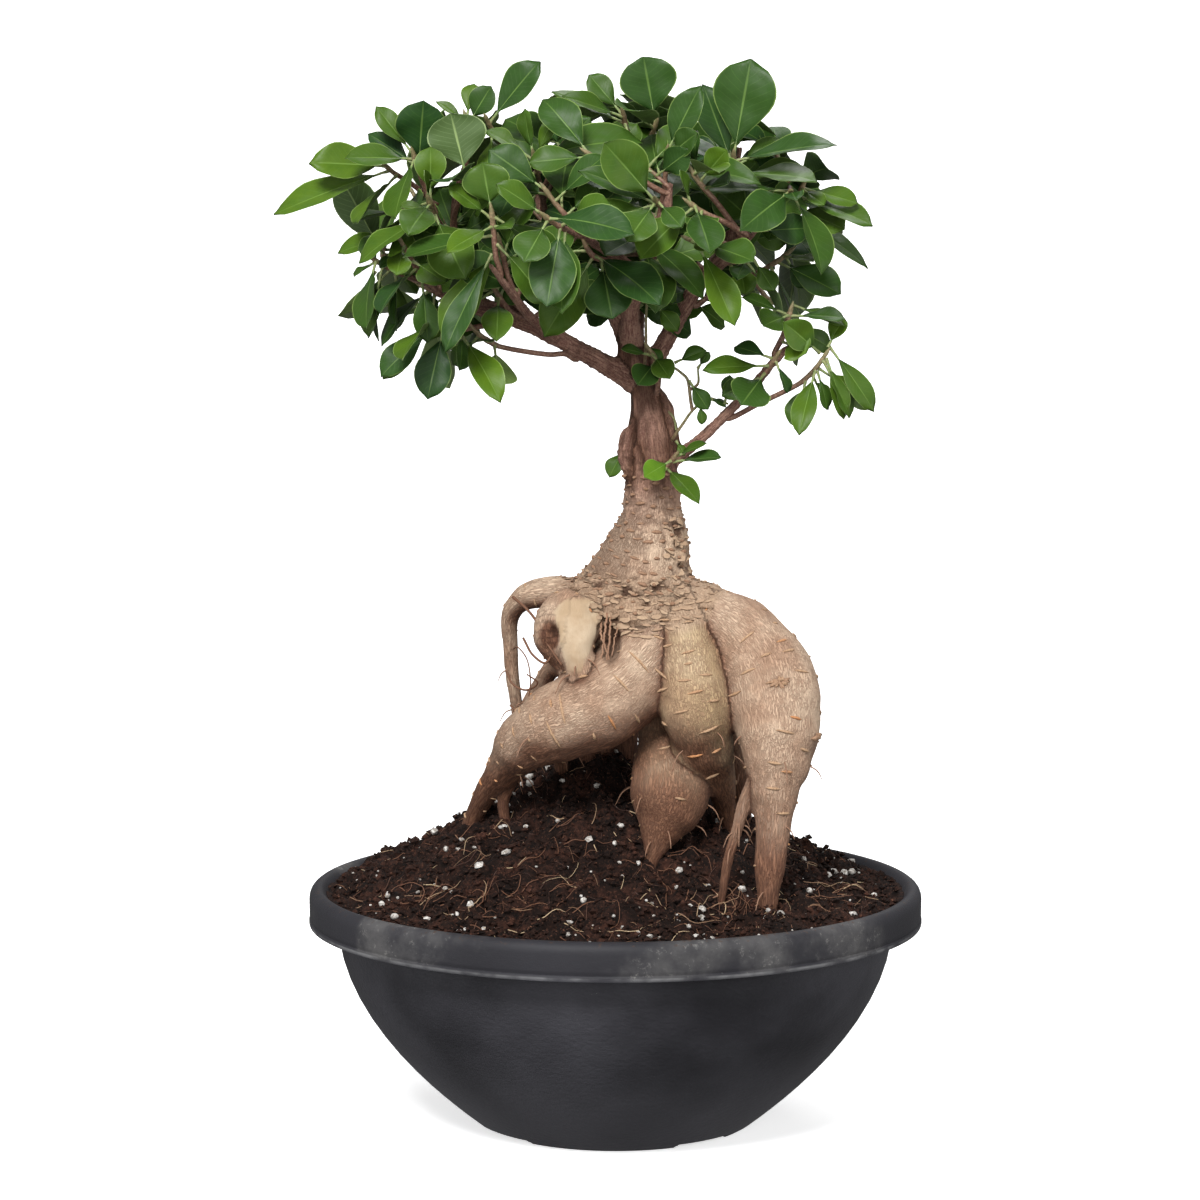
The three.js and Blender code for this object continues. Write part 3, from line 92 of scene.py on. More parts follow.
# The bowl and its soil
BOWL_HEIGHT = 137
BAND_HEIGHT = 21
WALL_RADIUS = 158.5
FOOT_RADIUS = 78
WALL_FLARE = 1.9
WALL = 4.5
FLOOR = 7
FIRST_NOTCH = -51
NOTCH_CIRCLE = 86
DRAIN_CIRCLE = 42
SOIL_EDGE = 133.5
MOUND_HEIGHT = 56
MOUND_CENTRE = (-5, 36)
MOUND_RADIUS = 162
HEAP_HEIGHT = 15
HEAP_CENTRE = (-20, 48)
HEAP_RADIUS = 72

# The woody limbs: each is a run of (x, y, z, radius) that a smooth stem follows
TRUNK = [
    (14, -6, 272, 30), (12, -3, 288, 35), (12, 0, 304, 34.5), (15, 0, 316, 29), (18, 0, 330, 25),
    (19.5, 0, 342, 20.5), (20, 0, 354, 16.6), (20, 0, 370, 14.8), (19.5, 0, 386, 14),
    (20, 0, 398, 10.4), (18, 0, 411, 8.2), (13, 0, 424, 8.4), (10, 0, 436, 8.2), (8, 0, 448, 7.4),
]
ROOTS = {
    "front_left": [
        (26, -8, 284, 22), (16, -24, 266, 25), (-7, -38, 246, 24.5), (-31, -38, 235, 22.5),
        (-50, -28, 223, 18), (-61, -13, 208, 12.4), (-72, 4, 191, 8.4), (-82, 18, 171, 6),
        (-89, 26, 152, 4.4), (-93, 30, 136, 4),
    ],
    "front_middle": [
        (32, -10, 292, 20), (38, -24, 279, 18.5), (42, -38, 262, 19), (45, -44, 243, 20),
        (49, -38, 225, 17), (57, -22, 203, 11.5), (62, -6, 185, 7.6), (66, 4, 164, 5.4),
        (68, 10, 142, 4.2),
    ],
    "right": [
        (34, -2, 292, 22), (52, -8, 288, 22), (71, -20, 278, 24), (84, -33, 263, 26.5),
        (89, -45, 246, 26), (90, -54, 230, 23.5), (89.5, -61, 215, 18.5), (88, -66, 202, 13.5),
        (87, -70, 182, 11), (85, -75, 162, 9.4), (84, -78, 147, 7.2), (83, -80, 128, 5),
    ],
    "middle_bulb": [
        (26, -4, 262, 15), (25, -8, 238, 12.5), (26, -12, 222, 13.5), (28, -18, 211, 18),
        (30, -26, 200, 21.5), (30, -32, 190, 22.5), (28, -36, 181, 18.5), (25, -40, 173, 12),
        (22, -45, 165, 7.5), (19, -49, 157, 4.6), (17, -52, 146, 3.2),
    ],
    "back_right": [
        (46, 18, 282, 18), (62, 28, 256, 15), (70, 32, 226, 11.5), (73, 37, 202, 9), (74, 42, 178, 7.4),
        (73, 46, 148, 5),
    ],
    "back": [
        (16, 20, 292, 22), (22, 46, 270, 20), (26, 66, 245, 17.5), (26, 84, 215, 12.5),
        (22, 96, 190, 8), (18, 102, 168, 5.6), (16, 106, 144, 4.2),
    ],
    "back_left": [
        (0, 14, 288, 19), (-8, 30, 262, 17), (-12, 40, 235, 13.5), (-13, 44, 212, 11.5),
        (-13, 47, 194, 9), (-11, 50, 150, 5),
    ],
    "back_middle": [
        (4, 20, 280, 14), (5, 36, 256, 11), (6, 46, 232, 9), (6, 50, 208, 7.6), (6, 54, 186, 6),
        (6, 57, 148, 4.4),
    ],
    "left_loop": [
        (-8, 2, 300, 8.4), (-20, 5, 303.4, 8.6), (-34, 9, 303.4, 9.8), (-48, 15, 301, 8.6),
        (-57, 20, 295, 7), (-61, 25, 285, 5.8), (-60.5, 28, 272, 4.7), (-59.6, 31, 254, 4.2),
        (-57, 34, 234, 3.6), (-55, 38, 208, 3.1), (-54, 41, 178, 2.7), (-53, 43, 148, 2.3),
    ],
    "knob": [
        (0, -6, 298, 14), (-12, -14, 297, 15), (-24, -24, 292, 18.5), (-30, -33, 284, 18),
        (-27, -32, 272, 11.5), (-23, -26, 262, 6.4), (-28, -14, 262, 6.4), (-35, -4, 262, 6.4),
        (-43, 4, 250, 5.6), (-52, 12, 233, 4.8), (-60, 22, 205, 3.8), (-63, 28, 176, 3),
        (-64, 32, 148, 2.4),
    ],
    "knob_face": [
        (-22, -32, 292, 14), (-22, -39, 285, 13.5), (-22, -45, 275, 9.5), (-21, -48, 266, 7),
        (-19, -47, 256, 5),
    ],
    "prop_left": [
        (-52, -20, 212, 5), (-60, -9, 196, 4), (-64, -4, 184, 3.4), (-62, -2, 168, 2.8), (-60, 0, 146, 2.2),
    ],
    "prop_middle": [
        (-28, -26, 236, 5), (-30, -6, 226, 5), (-31, 12, 212, 4.4), (-31, 22, 196, 4),
        (-29, 28, 172, 3), (-28, 30, 146, 2.2),
    ],
    "prop_right": [
        (86, -62, 214, 5.5), (78, -64, 206, 5.4), (72, -66, 196, 4.2), (67, -70, 180, 3.2),
        (62, -74, 164, 2.8), (58, -76, 140, 2.2),
    ],
}
# Folds that stand out on the upper trunk, with their runs of (x, y, z, radius)
FOLDS = {
    "ear": [(11, -6, 401, 3), (7.5, -8, 393, 4.6), (5.5, -8, 384, 5), (7, -8, 375, 4), (10, -7, 367, 2.5)],
    "column": [
        (16, -4, 424, 6.5), (18, -6, 408, 7.6), (20, -8, 394, 8.4), (22, -8, 380, 8), (22, -5, 366, 7),
    ],
    "right_fold": [
        (23, -2, 418, 4), (28, -4, 409, 5.4), (30.5, -4, 399, 5.4), (32, -2, 388, 5), (31, 0, 376, 4),
    ],
    "back_fold": [(14, 6, 420, 6), (14, 8, 404, 7), (13, 8, 388, 7), (15, 7, 372, 7)],
}
BRANCHES = {
    "left": [
        (14, 0, 421, 7.4), (0, -4, 430, 6.4), (-17, -13, 440, 5.8), (-33, -22, 449, 5.4),
        (-48, -27, 456, 4.4), (-66, -30, 462, 3.6), (-84, -30, 467, 2.9), (-100, -26, 474, 2.1),
    ],
    "left_upper": [
        (-36, -23, 450, 4.4), (-54, -18, 464, 4), (-70, -12, 478, 3.6), (-88, -4, 498, 3),
        (-100, 2, 516, 2.4), (-106, 6, 530, 1.9),
    ],
    "left_back": [(-48, -27, 456, 3.4), (-68, -10, 466, 2.8), (-90, 6, 474, 2.3), (-112, 14, 480, 1.8)],
    "left_front": [(-30, -20, 447, 3.2), (-46, -44, 460, 2.7), (-58, -66, 476, 2.2), (-68, -80, 490, 1.8)],
    "middle_left": [
        (9, 0, 443, 6.4), (-2, 5, 463, 4.6), (-12, 10, 480, 3.8), (-26, 16, 496, 3.2),
        (-40, 24, 514, 2.6), (-46, 30, 532, 2),
    ],
    "middle_left_back": [(-12, 10, 480, 3.4), (-34, 34, 494, 2.9), (-58, 52, 502, 2.4), (-80, 64, 508, 1.9)],
    "middle": [
        (9, -1, 444, 7), (9, -10, 467, 5.2), (15, -21, 485, 4.6), (21, -33, 500, 4),
        (27, -45, 516, 3.2), (30, -52, 534, 2.3),
    ],
    "middle_top": [
        (9, -8, 462, 4), (5, 0, 485, 3.2), (4, 8, 508, 2.8), (8, 12, 532, 2.3), (10, 14, 550, 1.8),
    ],
    "middle_front": [(14, -19, 483, 3.2), (4, -42, 492, 2.7), (-10, -62, 500, 2.2), (-20, -80, 508, 1.8)],
    "right": [
        (17, 4, 424, 6.4), (27, 8, 444, 5.6), (37, 10, 462, 5.2), (48, 8, 480, 4.8), (61, 5, 494, 4.4),
        (74, 1, 510, 3.6), (88, -6, 526, 2.8), (98, -12, 538, 2),
    ],
    "right_top": [(62, 5, 496, 3.4), (66, -3, 518, 2.8), (68, -8, 540, 2.2), (69, -10, 554, 1.8)],
    "right_back": [(48, 8, 480, 4), (62, 26, 498, 3.2), (76, 42, 512, 2.6), (88, 56, 522, 2)],
    "right_front": [(46, 8, 478, 3.2), (58, -16, 489, 2.7), (68, -40, 498, 2.2), (74, -58, 506, 1.8)],
    "right_low": [
        (28, 0, 376, 4.6), (47, -8, 391, 3.1), (61, -14, 405, 2.8), (76, -20, 421, 2.6),
        (90, -25, 438, 2.3), (104, -27, 450, 2),
    ],
    "back": [
        (10, 2, 436, 6.4), (12, 20, 458, 5), (10, 40, 480, 4.2), (2, 60, 500, 3.4), (-8, 80, 516, 2.6),
        (-14, 94, 528, 2),
    ],
    "back_right": [(11, 32, 472, 4), (26, 52, 490, 3.2), (40, 70, 506, 2.6), (50, 86, 518, 2)],
}

# Where the roots carry a raised cork line, seen from the front: (x, z, half its length)
CORK_LINES = [
    (-30, 246, 10), (-35, 231, 11), (3, 260, 7), (13, 271, 9), (-36, 248, 3), (-18, 263, 3), (-2, 238, 5),
    (12, 239, 4), (-12, 230, 3), (27, 292, 4), (24, 283, 4), (29, 279, 3), (40, 276, 4), (40, 270, 3),
    (25, 264, 5), (38, 261, 4), (50, 264, 4), (44, 255, 5), (26, 255, 4), (54, 250, 5), (36, 244, 5),
    (52, 234, 6), (27, 236, 4), (44, 218, 5), (56, 221, 3), (54, 205, 5), (73, 284, 5), (92, 282, 4),
    (83, 275, 4), (96, 277, 5), (73, 266, 5), (103, 266, 5), (66, 253, 6), (99, 242, 4), (93, 235, 6),
    (104, 224, 4), (87, 218, 4), (94, 213, 4), (86, 204, 5), (92, 190, 5), (28, 220, 4), (36, 194, 4),
]
# Knots where a root was cut: (x, z, radius)
ROOT_KNOTS = [(91, 261, 6.5), (112, 230, 3.5), (-22, 253, 2.2), (29, 253, 1.8)]
# The knob's peeled face seen from the front: height, middle and half its width
KNOB_FACE = [(266, -22.7, 4.5), (270, -22.7, 6), (276, -22.2, 8.4), (283, -21.3, 11), (291, -21.2, 12.6),
             (298, -22.2, 12.8), (302, -21.5, 10), (305, -21.5, 5)]
KNOB_HOLLOW = (-37.5, -47, 284)
KNOB_MIDDLE = (-24, -34, 283)
# The torn bark at the trunk's right
TORN_PLACE = (33, -12, 330)

# Leaves of another colour, by a point that each one is nearest to
YOUNG_LEAVES = [(48, -66, 560), (20, -32, 374)]
BROWN_SPOT = (-6, -104, 487)


def colour_setting(name, description, default):
    return bpy.props.FloatVectorProperty(name=name, description=description, default=default, subtype="COLOR")


class BowlSettings(bpy.types.PropertyGroup):
    colour: colour_setting("Colour", "The plastic's own colour", (0.050, 0.049, 0.057))
    # The worn colour is used both for rubbed patches and as painted shade over the whole band.
    worn: colour_setting("Worn Colour", "The plastic where it is rubbed", (0.0155, 0.015, 0.018))
    dust: bpy.props.FloatProperty(
        name="Dust", description="How much pale dust lies on the rim", default=0.5, min=0, max=1,
        subtype="FACTOR",
    )
    steps: bpy.props.IntProperty(
        name="Steps", description="Steps round the bowl", default=216, min=48, max=360
    )


class SoilSettings(bpy.types.PropertyGroup):
    colour: colour_setting("Colour", "The damp peat's own colour", (0.0085, 0.0042, 0.003))
    crumbs: bpy.props.IntProperty(
        name="Crumbs", description="How many crumbs lie on the soil", default=8600, min=0
    )
    perlite: bpy.props.IntProperty(
        name="Perlite", description="How many white grains show", default=380, min=0
    )
    fibres: bpy.props.IntProperty(
        name="Fibres", description="How many loose fibres lie on it", default=700, min=0
    )


class WoodSettings(bpy.types.PropertyGroup):
    voxel: bpy.props.FloatProperty(
        name="Detail", description="Edge of the skin's faces, in millimetres", default=1.6, min=0.8, max=6
    )
    root_colour: colour_setting("Root Colour", "Colour of the bare roots", (0.50, 0.37, 0.265))
    root_shade: colour_setting("Root Shade", "Darker patches of the bare roots", (0.35, 0.22, 0.145))
    bark_colour: colour_setting("Bark Colour", "Grooves of the branches' bark", (0.155, 0.072, 0.053))
    bark_light: colour_setting("Bark Ridges", "Ridges of the branches' bark", (0.36, 0.205, 0.15))


class LeafSettings(bpy.types.PropertyGroup):
    fresh: colour_setting("Fresh Green", "The lightest of the grown leaves", (0.063, 0.118, 0.007))
    deep: colour_setting("Deep Green", "The darkest of the grown leaves", (0.013, 0.040, 0.009))
    young: colour_setting("Young Green", "The newest leaves", (0.08, 0.165, 0.011))
    spurs: bpy.props.IntProperty(
        name="Inner Spurs", description="How many leafy spurs fill the heart of the crown", default=84, min=0
    )
    wave: bpy.props.FloatProperty(
        name="Wave", description="How far the edges wave, in millimetres", default=0.9, min=0, max=2
    )


class StageSettings(bpy.types.PropertyGroup):
    distance: bpy.props.FloatProperty(
        name="Distance", description="From the camera to the bowl's axis", default=2.0, min=0.5,
        unit="LENGTH",
    )
    pitch: bpy.props.FloatProperty(
        name="Pitch", description="How far the camera looks down", default=radians(6.03),
        subtype="ANGLE",
    )
    lens: bpy.props.FloatProperty(
        name="Lens", description="Focal length in millimetres", default=106.2, min=20
    )


# Meshes and objects

def take_up(piece):
    """Makes a piece the only one selected, and the active one."""
    bpy.ops.object.select_all(action="DESELECT")
    piece.select_set(True)
    bpy.context.view_layer.objects.active = piece


def mesh_piece(name, points, faces):
    """A new object from points in millimetres."""
    mesh = bpy.data.meshes.new(name)
    mesh.from_pydata([(p[0] * MM, p[1] * MM, p[2] * MM) for p in points], [], faces)
    mesh.validate()
    piece = bpy.data.objects.new(name, mesh)
    bpy.context.scene.collection.objects.link(piece)
    take_up(piece)
    return piece


def apply_modifier(piece, kind, **settings):
    take_up(piece)
    modifier = piece.modifiers.new(kind.title(), kind)
    for key, value in settings.items():
        setattr(modifier, key, value)
    bpy.ops.object.modifier_apply(modifier=modifier.name)


def face_outwards(piece):
    take_up(piece)
    bpy.ops.object.mode_set(mode="EDIT")
    bpy.ops.mesh.select_all(action="SELECT")
    bpy.ops.mesh.normals_make_consistent(inside=False)
    bpy.ops.object.mode_set(mode="OBJECT")


def finish_piece(piece, slot, materials, *nodes):
    """Gives a piece its materials and its place in the frame; the slot is not used."""
    for material in materials:
        piece.data.materials.append(material)
    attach(piece, "root")
    if nodes:
        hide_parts(*nodes)
    return piece


def points_of(piece):
    """A piece's points in millimetres, as rows."""
    flat = np.empty(len(piece.data.vertices) * 3)
    piece.data.vertices.foreach_get("co", flat)
    return flat.reshape(-1, 3) / MM


def normals_of(piece):
    flat = np.empty(len(piece.data.vertices) * 3)
    piece.data.vertices.foreach_get("normal", flat)
    return flat.reshape(-1, 3)


def move_points(piece, points):
    piece.data.vertices.foreach_set("co", (points * MM).ravel())
    piece.data.update()


def mark(piece, name, values):
    """Stores one number a point, which the piece's material reads."""
    attribute = piece.data.attributes.new(name, "FLOAT", "POINT")
    attribute.data.foreach_set("value", np.asarray(values, dtype=np.float32))


def ease(low, high, values):
    """0 below low, 1 above high and smooth between them."""
    share = np.clip((values - low) / (high - low), 0, 1)
    return share * share * (3 - 2 * share)


def fade(low, high, values):
    """1 below low, 0 above high and smooth between them."""
    return 1 - ease(low, high, values)


# Noise on rows of points

def lattice_draw(cells, seed):
    """A number from 0 to 1 for each whole-numbered cell."""
    x, y, z = cells[..., 0], cells[..., 1], cells[..., 2]
    key = x * 73856093 ^ y * 19349663 ^ z * 83492791 ^ (seed * 2654435761)
    key = (key ^ (key >> 13)) * 1274126177 & 0xFFFFFFFF
    return ((key ^ (key >> 16)) & 0xFFFFFF) / float(0xFFFFFF)


def soft_noise(points, size, seed=0):
    """Smooth noise from -1 to 1 with lumps of about the given size."""
    scaled = points / size
    cell = np.floor(scaled).astype(np.int64)
    part = scaled - cell
    part = part * part * (3 - 2 * part)
    total = np.zeros(len(points))
    for corner in product((0, 1), repeat=3):
        x, y, z = (part[:, k] if side else 1 - part[:, k] for k, side in enumerate(corner))
        total += x * y * z * lattice_draw(cell + corner, seed)
    return total * 2 - 1


def layered_noise(points, size, seed=0, layers=3):
    total = np.zeros(len(points))
    for layer in range(layers):
        total += soft_noise(points, size / 2**layer, seed + layer) / 2**layer
    return total


def cell_distance(points, size, seed):
    """Distance to the nearest of scattered centres, as a share of their spacing."""
    scaled = points / size
    cell = np.floor(scaled).astype(np.int64)
    nearest = np.full(len(points), 9.0)
    for beside in product((-1, 0, 1), repeat=3):
        at = cell + beside
        centre = at + np.stack([lattice_draw(at, seed + k) for k in range(3)], axis=1)
        nearest = np.minimum(nearest, norm(scaled - centre, axis=1))
    return nearest


# Materials

class Value:
    """A number or colour in a material's nodes. Arithmetic on it adds Math nodes."""

    def __init__(self, paint, socket):
        self.paint = paint
        self.socket = socket

    def math(self, operation, *others):
        return self.paint.node("Math", {"operation": operation}, self, *others)

    def __add__(self, other):
        return self.math("ADD", other)

    __radd__ = __add__

    def __sub__(self, other):
        return self.math("SUBTRACT", other)

    def __rsub__(self, other):
        return self.paint.node("Math", {"operation": "SUBTRACT"}, other, self)

    def __mul__(self, other):
        return self.math("MULTIPLY", other)

    def __abs__(self):
        return self.math("ABSOLUTE")

    def fraction(self):
        return self.math("FRACT")

    def between(self, low, high):
        """0 below low, 1 above high and smooth between them."""
        settings = {"interpolation_type": "SMOOTHSTEP", "clamp": True}
        return self.paint.node("MapRange", settings, self, low, high)


class Paint:
    """A material made node by node."""

    def __init__(self, name, roughness=0.6, **constants):
        self.material = bpy.data.materials.new(name)
        self.material.use_nodes = True
        self.tree = self.material.node_tree
        self.shader = self.tree.nodes["Principled BSDF"]
        self.shader.inputs["Roughness"].default_value = roughness
        for key, value in constants.items():
            self.shader.inputs[key.replace("_", " ")].default_value = value

    def node(self, kind, settings=None, *values, output=0, **named):
        """Adds a node, with its settings first and then the values or links of its sockets."""
        node = self.tree.nodes.new("ShaderNode" + kind)
        for key, value in (settings or {}).items():
            setattr(node, key, value)
        for key, value in [*enumerate(values), *named.items()]:
            socket = node.inputs[key if isinstance(key, int) else key.replace("_", " ")]
            self.feed(socket, value)
        return Value(self, node.outputs[output])

    def feed(self, socket, value):
        if isinstance(value, Value):
            self.tree.links.new(value.socket, socket)
        elif isinstance(value, (tuple, list)) or hasattr(value, "r"):
            colour = tuple(value)
            socket.default_value = colour + (1,) if socket.type == "RGBA" and len(colour) == 3 else colour
        else:
            socket.default_value = value

    def place(self):
        return self.node("TexCoord", output="Object")

    def attribute(self, name):
        return self.node("Attribute", {"attribute_name": name}, output="Fac")

    def noise(self, scale, detail=3.0, roughness=0.5, stretch=None):
        at = self.place()
        if stretch:
            at = self.node("Mapping", {"vector_type": "POINT"}, Vector=at, Scale=stretch)
        return self.node("TexNoise", None, Vector=at, Scale=scale, Detail=detail, Roughness=roughness)

    def mix(self, factor, first, second):
        node = self.tree.nodes.new("ShaderNodeMix")
        node.data_type = "RGBA"
        self.feed(node.inputs[0], factor)
        self.feed(node.inputs[6], first)
        self.feed(node.inputs[7], second)
        return Value(self, node.outputs[2])

    def layers(self, base, *layers):
        """Lays colours over one another, each as far as its mask says."""
        for mask, colour in layers:
            base = self.mix(mask, base, colour)
        return base

    def bump(self, height, strength, distance, below=None):
        named = {"Height": height, "Strength": strength, "Distance": distance * MM}
        if below is not None:
            named["Normal"] = below
        return self.node("Bump", None, **named)

    def set(self, **sockets):
        for key, value in sockets.items():
            self.feed(self.shader.inputs[key.replace("_", " ")], value)
        return self.material


def plastic(settings):
    """Dark moulded plastic with a fine grain, and pale dust and scuffs on the rim; painted shade darkens the
    band, painted light brightens the wall towards the foot, and a painted highlight runs along the band's
    lower edge.
    """
    paint = Paint("dark_plastic", roughness=0.5, Specular_IOR_Level=0.18)
    height = paint.node("SeparateXYZ", None, paint.place(), output="Z")
    band_foot = BOWL_HEIGHT - BAND_HEIGHT
    on_band = height.between((band_foot - 1) * MM, (band_foot + 4) * MM)
    cloud = paint.noise(14, detail=5, roughness=0.62)
    scuff = paint.noise(170, detail=5, roughness=0.78)
    speck = paint.noise(900, detail=2)
    film = cloud.between(0.5, 0.72) * (0.35 + scuff) * on_band
    flecks = scuff.between(0.56, 0.64) * cloud.between(0.52, 0.62) * on_band * speck.between(0.35, 0.6)
    specks = speck.between(0.7, 0.78) * paint.noise(40, detail=2).between(0.6, 0.7)
    edge = height.between((BOWL_HEIGHT - 4) * MM, BOWL_HEIGHT * MM)
    crumbs = paint.noise(420, detail=3).between(0.6, 0.7) * edge
    # painted highlight: a pale, patchy line along the band's lower edge
    lower_edge = height.between((band_foot + 2.8) * MM, (band_foot + 1.6) * MM)
    edge_highlight = lower_edge * on_band * paint.noise(60, detail=3).between(0.35, 0.65)
    colour = paint.layers(
        settings.colour,
        (paint.noise(9, detail=4).between(0.35, 0.7), settings.worn),
        # painted light: the wall is lightened towards the foot
        (height.between(70 * MM, 15 * MM) * 0.5, (0.075, 0.073, 0.083)),
        # painted shade: the band is darkened towards the worn colour
        (on_band * 0.8, settings.worn),
        (film * settings.dust, (0.15, 0.145, 0.14)),
        (flecks * settings.dust * 0.6, (0.3, 0.29, 0.27)),
        (specks * 0.35, (0.3, 0.29, 0.27)),
        (edge_highlight * 0.55, (0.3, 0.3, 0.3)),
        (crumbs * 0.7, (0.05, 0.028, 0.018)),
    )
    grain = paint.noise(1500, detail=3, roughness=0.6)
    hammered = paint.noise(300, detail=3, stretch=(1, 1, 1.6))
    bump = paint.bump(grain + hammered * (3.4 - on_band * 2.2), 0.6, 0.2)
    return paint.set(Base_Color=colour, Roughness=0.5 + cloud * 0.16 + film * 0.25, Normal=bump)


def damp_soil(settings, name, lift):
    """Damp peat: near black where wet, red brown where it dries, with near black spots of painted shade for
    the gaps between crumbs.
    """
    paint = Paint(name, roughness=0.9, Specular_IOR_Level=0.15)
    lumps = paint.noise(60, detail=6, roughness=0.7)
    grit = paint.noise(700, detail=4, roughness=0.7)
    dark = tuple(channel * lift for channel in settings.colour)
    dry = (0.046 * lift, 0.0185 * lift, 0.012 * lift)
    # painted shade: near black spots stand in for the shaded gaps between crumbs
    gap_shade = paint.noise(230, detail=4, roughness=0.75)
    base = paint.mix(lumps.between(0.42, 0.72), dark, dry)
    base = paint.mix(gap_shade.between(0.52, 0.4) * 0.85, base, (0.0035, 0.002, 0.0016))
    colour = paint.mix(grit.between(0.56, 0.72) * 0.7, base, (0.14 * lift, 0.06 * lift, 0.036 * lift))
    bump = paint.bump(grit + lumps, 1.0, 1.4)
    return paint.set(Base_Color=colour, Normal=bump)


def perlite():
    paint = Paint("perlite", roughness=0.85)
    pits = paint.noise(620, detail=4, roughness=0.7)
    colour = paint.mix(pits.between(0.36, 0.62), (0.17, 0.145, 0.12), (0.55, 0.53, 0.50))
    return paint.set(Base_Color=colour, Normal=paint.bump(pits, 0.8, 0.4))


def fibre():
    """Loose root fibres, from dark red brown to straw."""
    paint = Paint("fibre", roughness=0.75)
    tone = paint.attribute("tone")
    dark = paint.mix(tone.between(0, 0.5), (0.04, 0.014, 0.008), (0.16, 0.068, 0.034))
    return paint.set(Base_Color=paint.mix(tone.between(0.55, 1), dark, (0.5, 0.37, 0.22)))


def streaks(paint, scale, run, detail=3.0, bend=0.0):
    """Noise drawn out along the limbs."""
    place = paint.node("Attribute", {"attribute_name": "round"}, output="Vector")
    far = paint.attribute("run") * run
    named = {"Vector": place, "W": far, "Scale": scale, "Detail": detail, "Distortion": bend}
    return paint.node("TexNoise", {"noise_dimensions": "4D"}, **named)


def bark(settings):
    """Finely wrinkled root skin, darker towards the soil, with painted shade on its undersides and in its
    hollows and creases, crusted bark and red brown branches.
    """
    paint = Paint("bark", roughness=0.75, Specular_IOR_Level=0.25)
    broad = paint.noise(22, detail=4, roughness=0.6)
    stipple = paint.noise(900, detail=3, roughness=0.7)
    wrinkle = streaks(paint, 1.2, 0.1, 2.0, 0.5)
    cross = streaks(paint, 0.35, 1.5, 2.0)
    net = abs(wrinkle - 0.5).between(0.1, 0.01)
    vein = paint.noise(45, detail=4, roughness=0.6)
    lines = net * paint.noise(120, detail=2).between(0.25, 0.55)
    foot = paint.mix(stipple.between(0.35, 0.65), (0.25, 0.16, 0.1), (0.37, 0.26, 0.175))
    rough = wrinkle * 0.35 + vein * 0.3 + stipple * 0.35
    twiggy = paint.mix(rough.between(0.42, 0.58), settings.bark_colour, settings.bark_light)
    twiggy = paint.mix(stipple.between(0.6, 0.72) * 0.5, twiggy, (0.34, 0.2, 0.13))
    cream = paint.mix(vein.between(0.4, 0.65), (0.42, 0.325, 0.225), (0.33, 0.235, 0.145))
    cream = paint.mix(stipple.between(0.6, 0.7) * 0.3, cream, (0.34, 0.22, 0.12))
    earth_and_shade = paint.mix(wrinkle.between(0.4, 0.6), (0.085, 0.033, 0.018), (0.2, 0.09, 0.05))
    wood = paint.layers(
        settings.root_colour,
        (broad.between(0.36, 0.66), settings.root_shade),
        (vein.between(0.5, 0.7) * 0.35, settings.root_shade),
        # olive tint on the front middle root, and painted shade on the bulb
        (paint.attribute("olive") * 0.6, (0.38, 0.29, 0.13)),
        (lines * 0.62, (0.2, 0.115, 0.072)),
        (stipple.between(0.58, 0.76) * 0.22, (0.52, 0.4, 0.29)),
        (paint.attribute("corky") * 0.8, foot),
        (paint.attribute("aged"), twiggy),
        (paint.attribute("cream"), cream),
        (paint.attribute("rust"), (0.36, 0.13, 0.035)),
        # the earth colour: dirt, and painted shade on undersides, on the roots at the back, in creases, in
        # the knob's hollow and on the bulb
        (paint.attribute("soiled"), earth_and_shade),
        # painted shade in hollows, cracks and creases; the rootlets are darkened with it too
        (paint.attribute("hollow") * 0.9, (0.05, 0.02, 0.01)),
    )
    relief = wrinkle * 0.5 - net * 0.8 + cross * 0.4 + stipple * 0.3
    fine = paint.bump(relief * (1 - paint.attribute("cream") * 0.85), 0.9, 0.6)
    return paint.set(Base_Color=wood, Roughness=0.6 + stipple * 0.25, Normal=fine)


def cork():
    """Tan cork with an orange brown heart."""
    paint = Paint("cork", roughness=0.8, Specular_IOR_Level=0.2)
    tone = paint.attribute("tone")
    grit = paint.noise(900, detail=3, roughness=0.7)
    base = paint.mix(tone.between(0.72, 1), (0.37, 0.24, 0.145), (0.42, 0.19, 0.08))
    base = paint.mix(paint.attribute("dark"), base, (0.25, 0.15, 0.095))
    colour = paint.mix(grit.between(0.45, 0.65) * 0.6, base, (0.17, 0.085, 0.045))
    return paint.set(Base_Color=colour, Normal=paint.bump(grit, 0.6, 0.4))


def flake_skin():
    """Scales of dry bark, dark underneath."""
    paint = Paint("flakes", roughness=0.85, Specular_IOR_Level=0.2)
    tone = paint.attribute("tone")
    grit = paint.noise(800, detail=4, roughness=0.7)
    base = paint.mix(tone, (0.3, 0.2, 0.13), (0.4, 0.285, 0.19))
    colour = paint.mix(grit.between(0.42, 0.7) * 0.55, base, (0.24, 0.15, 0.095))
    colour = paint.mix(paint.attribute("under") * 0.6, colour, (0.11, 0.055, 0.03))
    return paint.set(Base_Color=colour, Normal=paint.bump(grit, 0.7, 0.5))


def blade_marks(paint):
    """Masks for a leaf's midrib, margin and side veins, and how far along and off the midrib a point is."""
    uv = paint.node("UVMap", {"uv_map": "blade"})
    across = paint.node("SeparateXYZ", None, uv, output="X")
    along = paint.node("SeparateXYZ", None, uv, output="Y")
    off = abs(across - 0.5) * 2
    rib = off.between(0.055, 0.015) * (1 - along * 0.75)
    margin = off.between(0.94, 0.985)
    ripple = abs(((along - off * 0.24) * 11).fraction() - 0.5)
    veins = ripple.between(0.1, 0.0) * off.between(0.03, 0.12) * off.between(0.98, 0.7)
    return rib, margin, veins, along, off


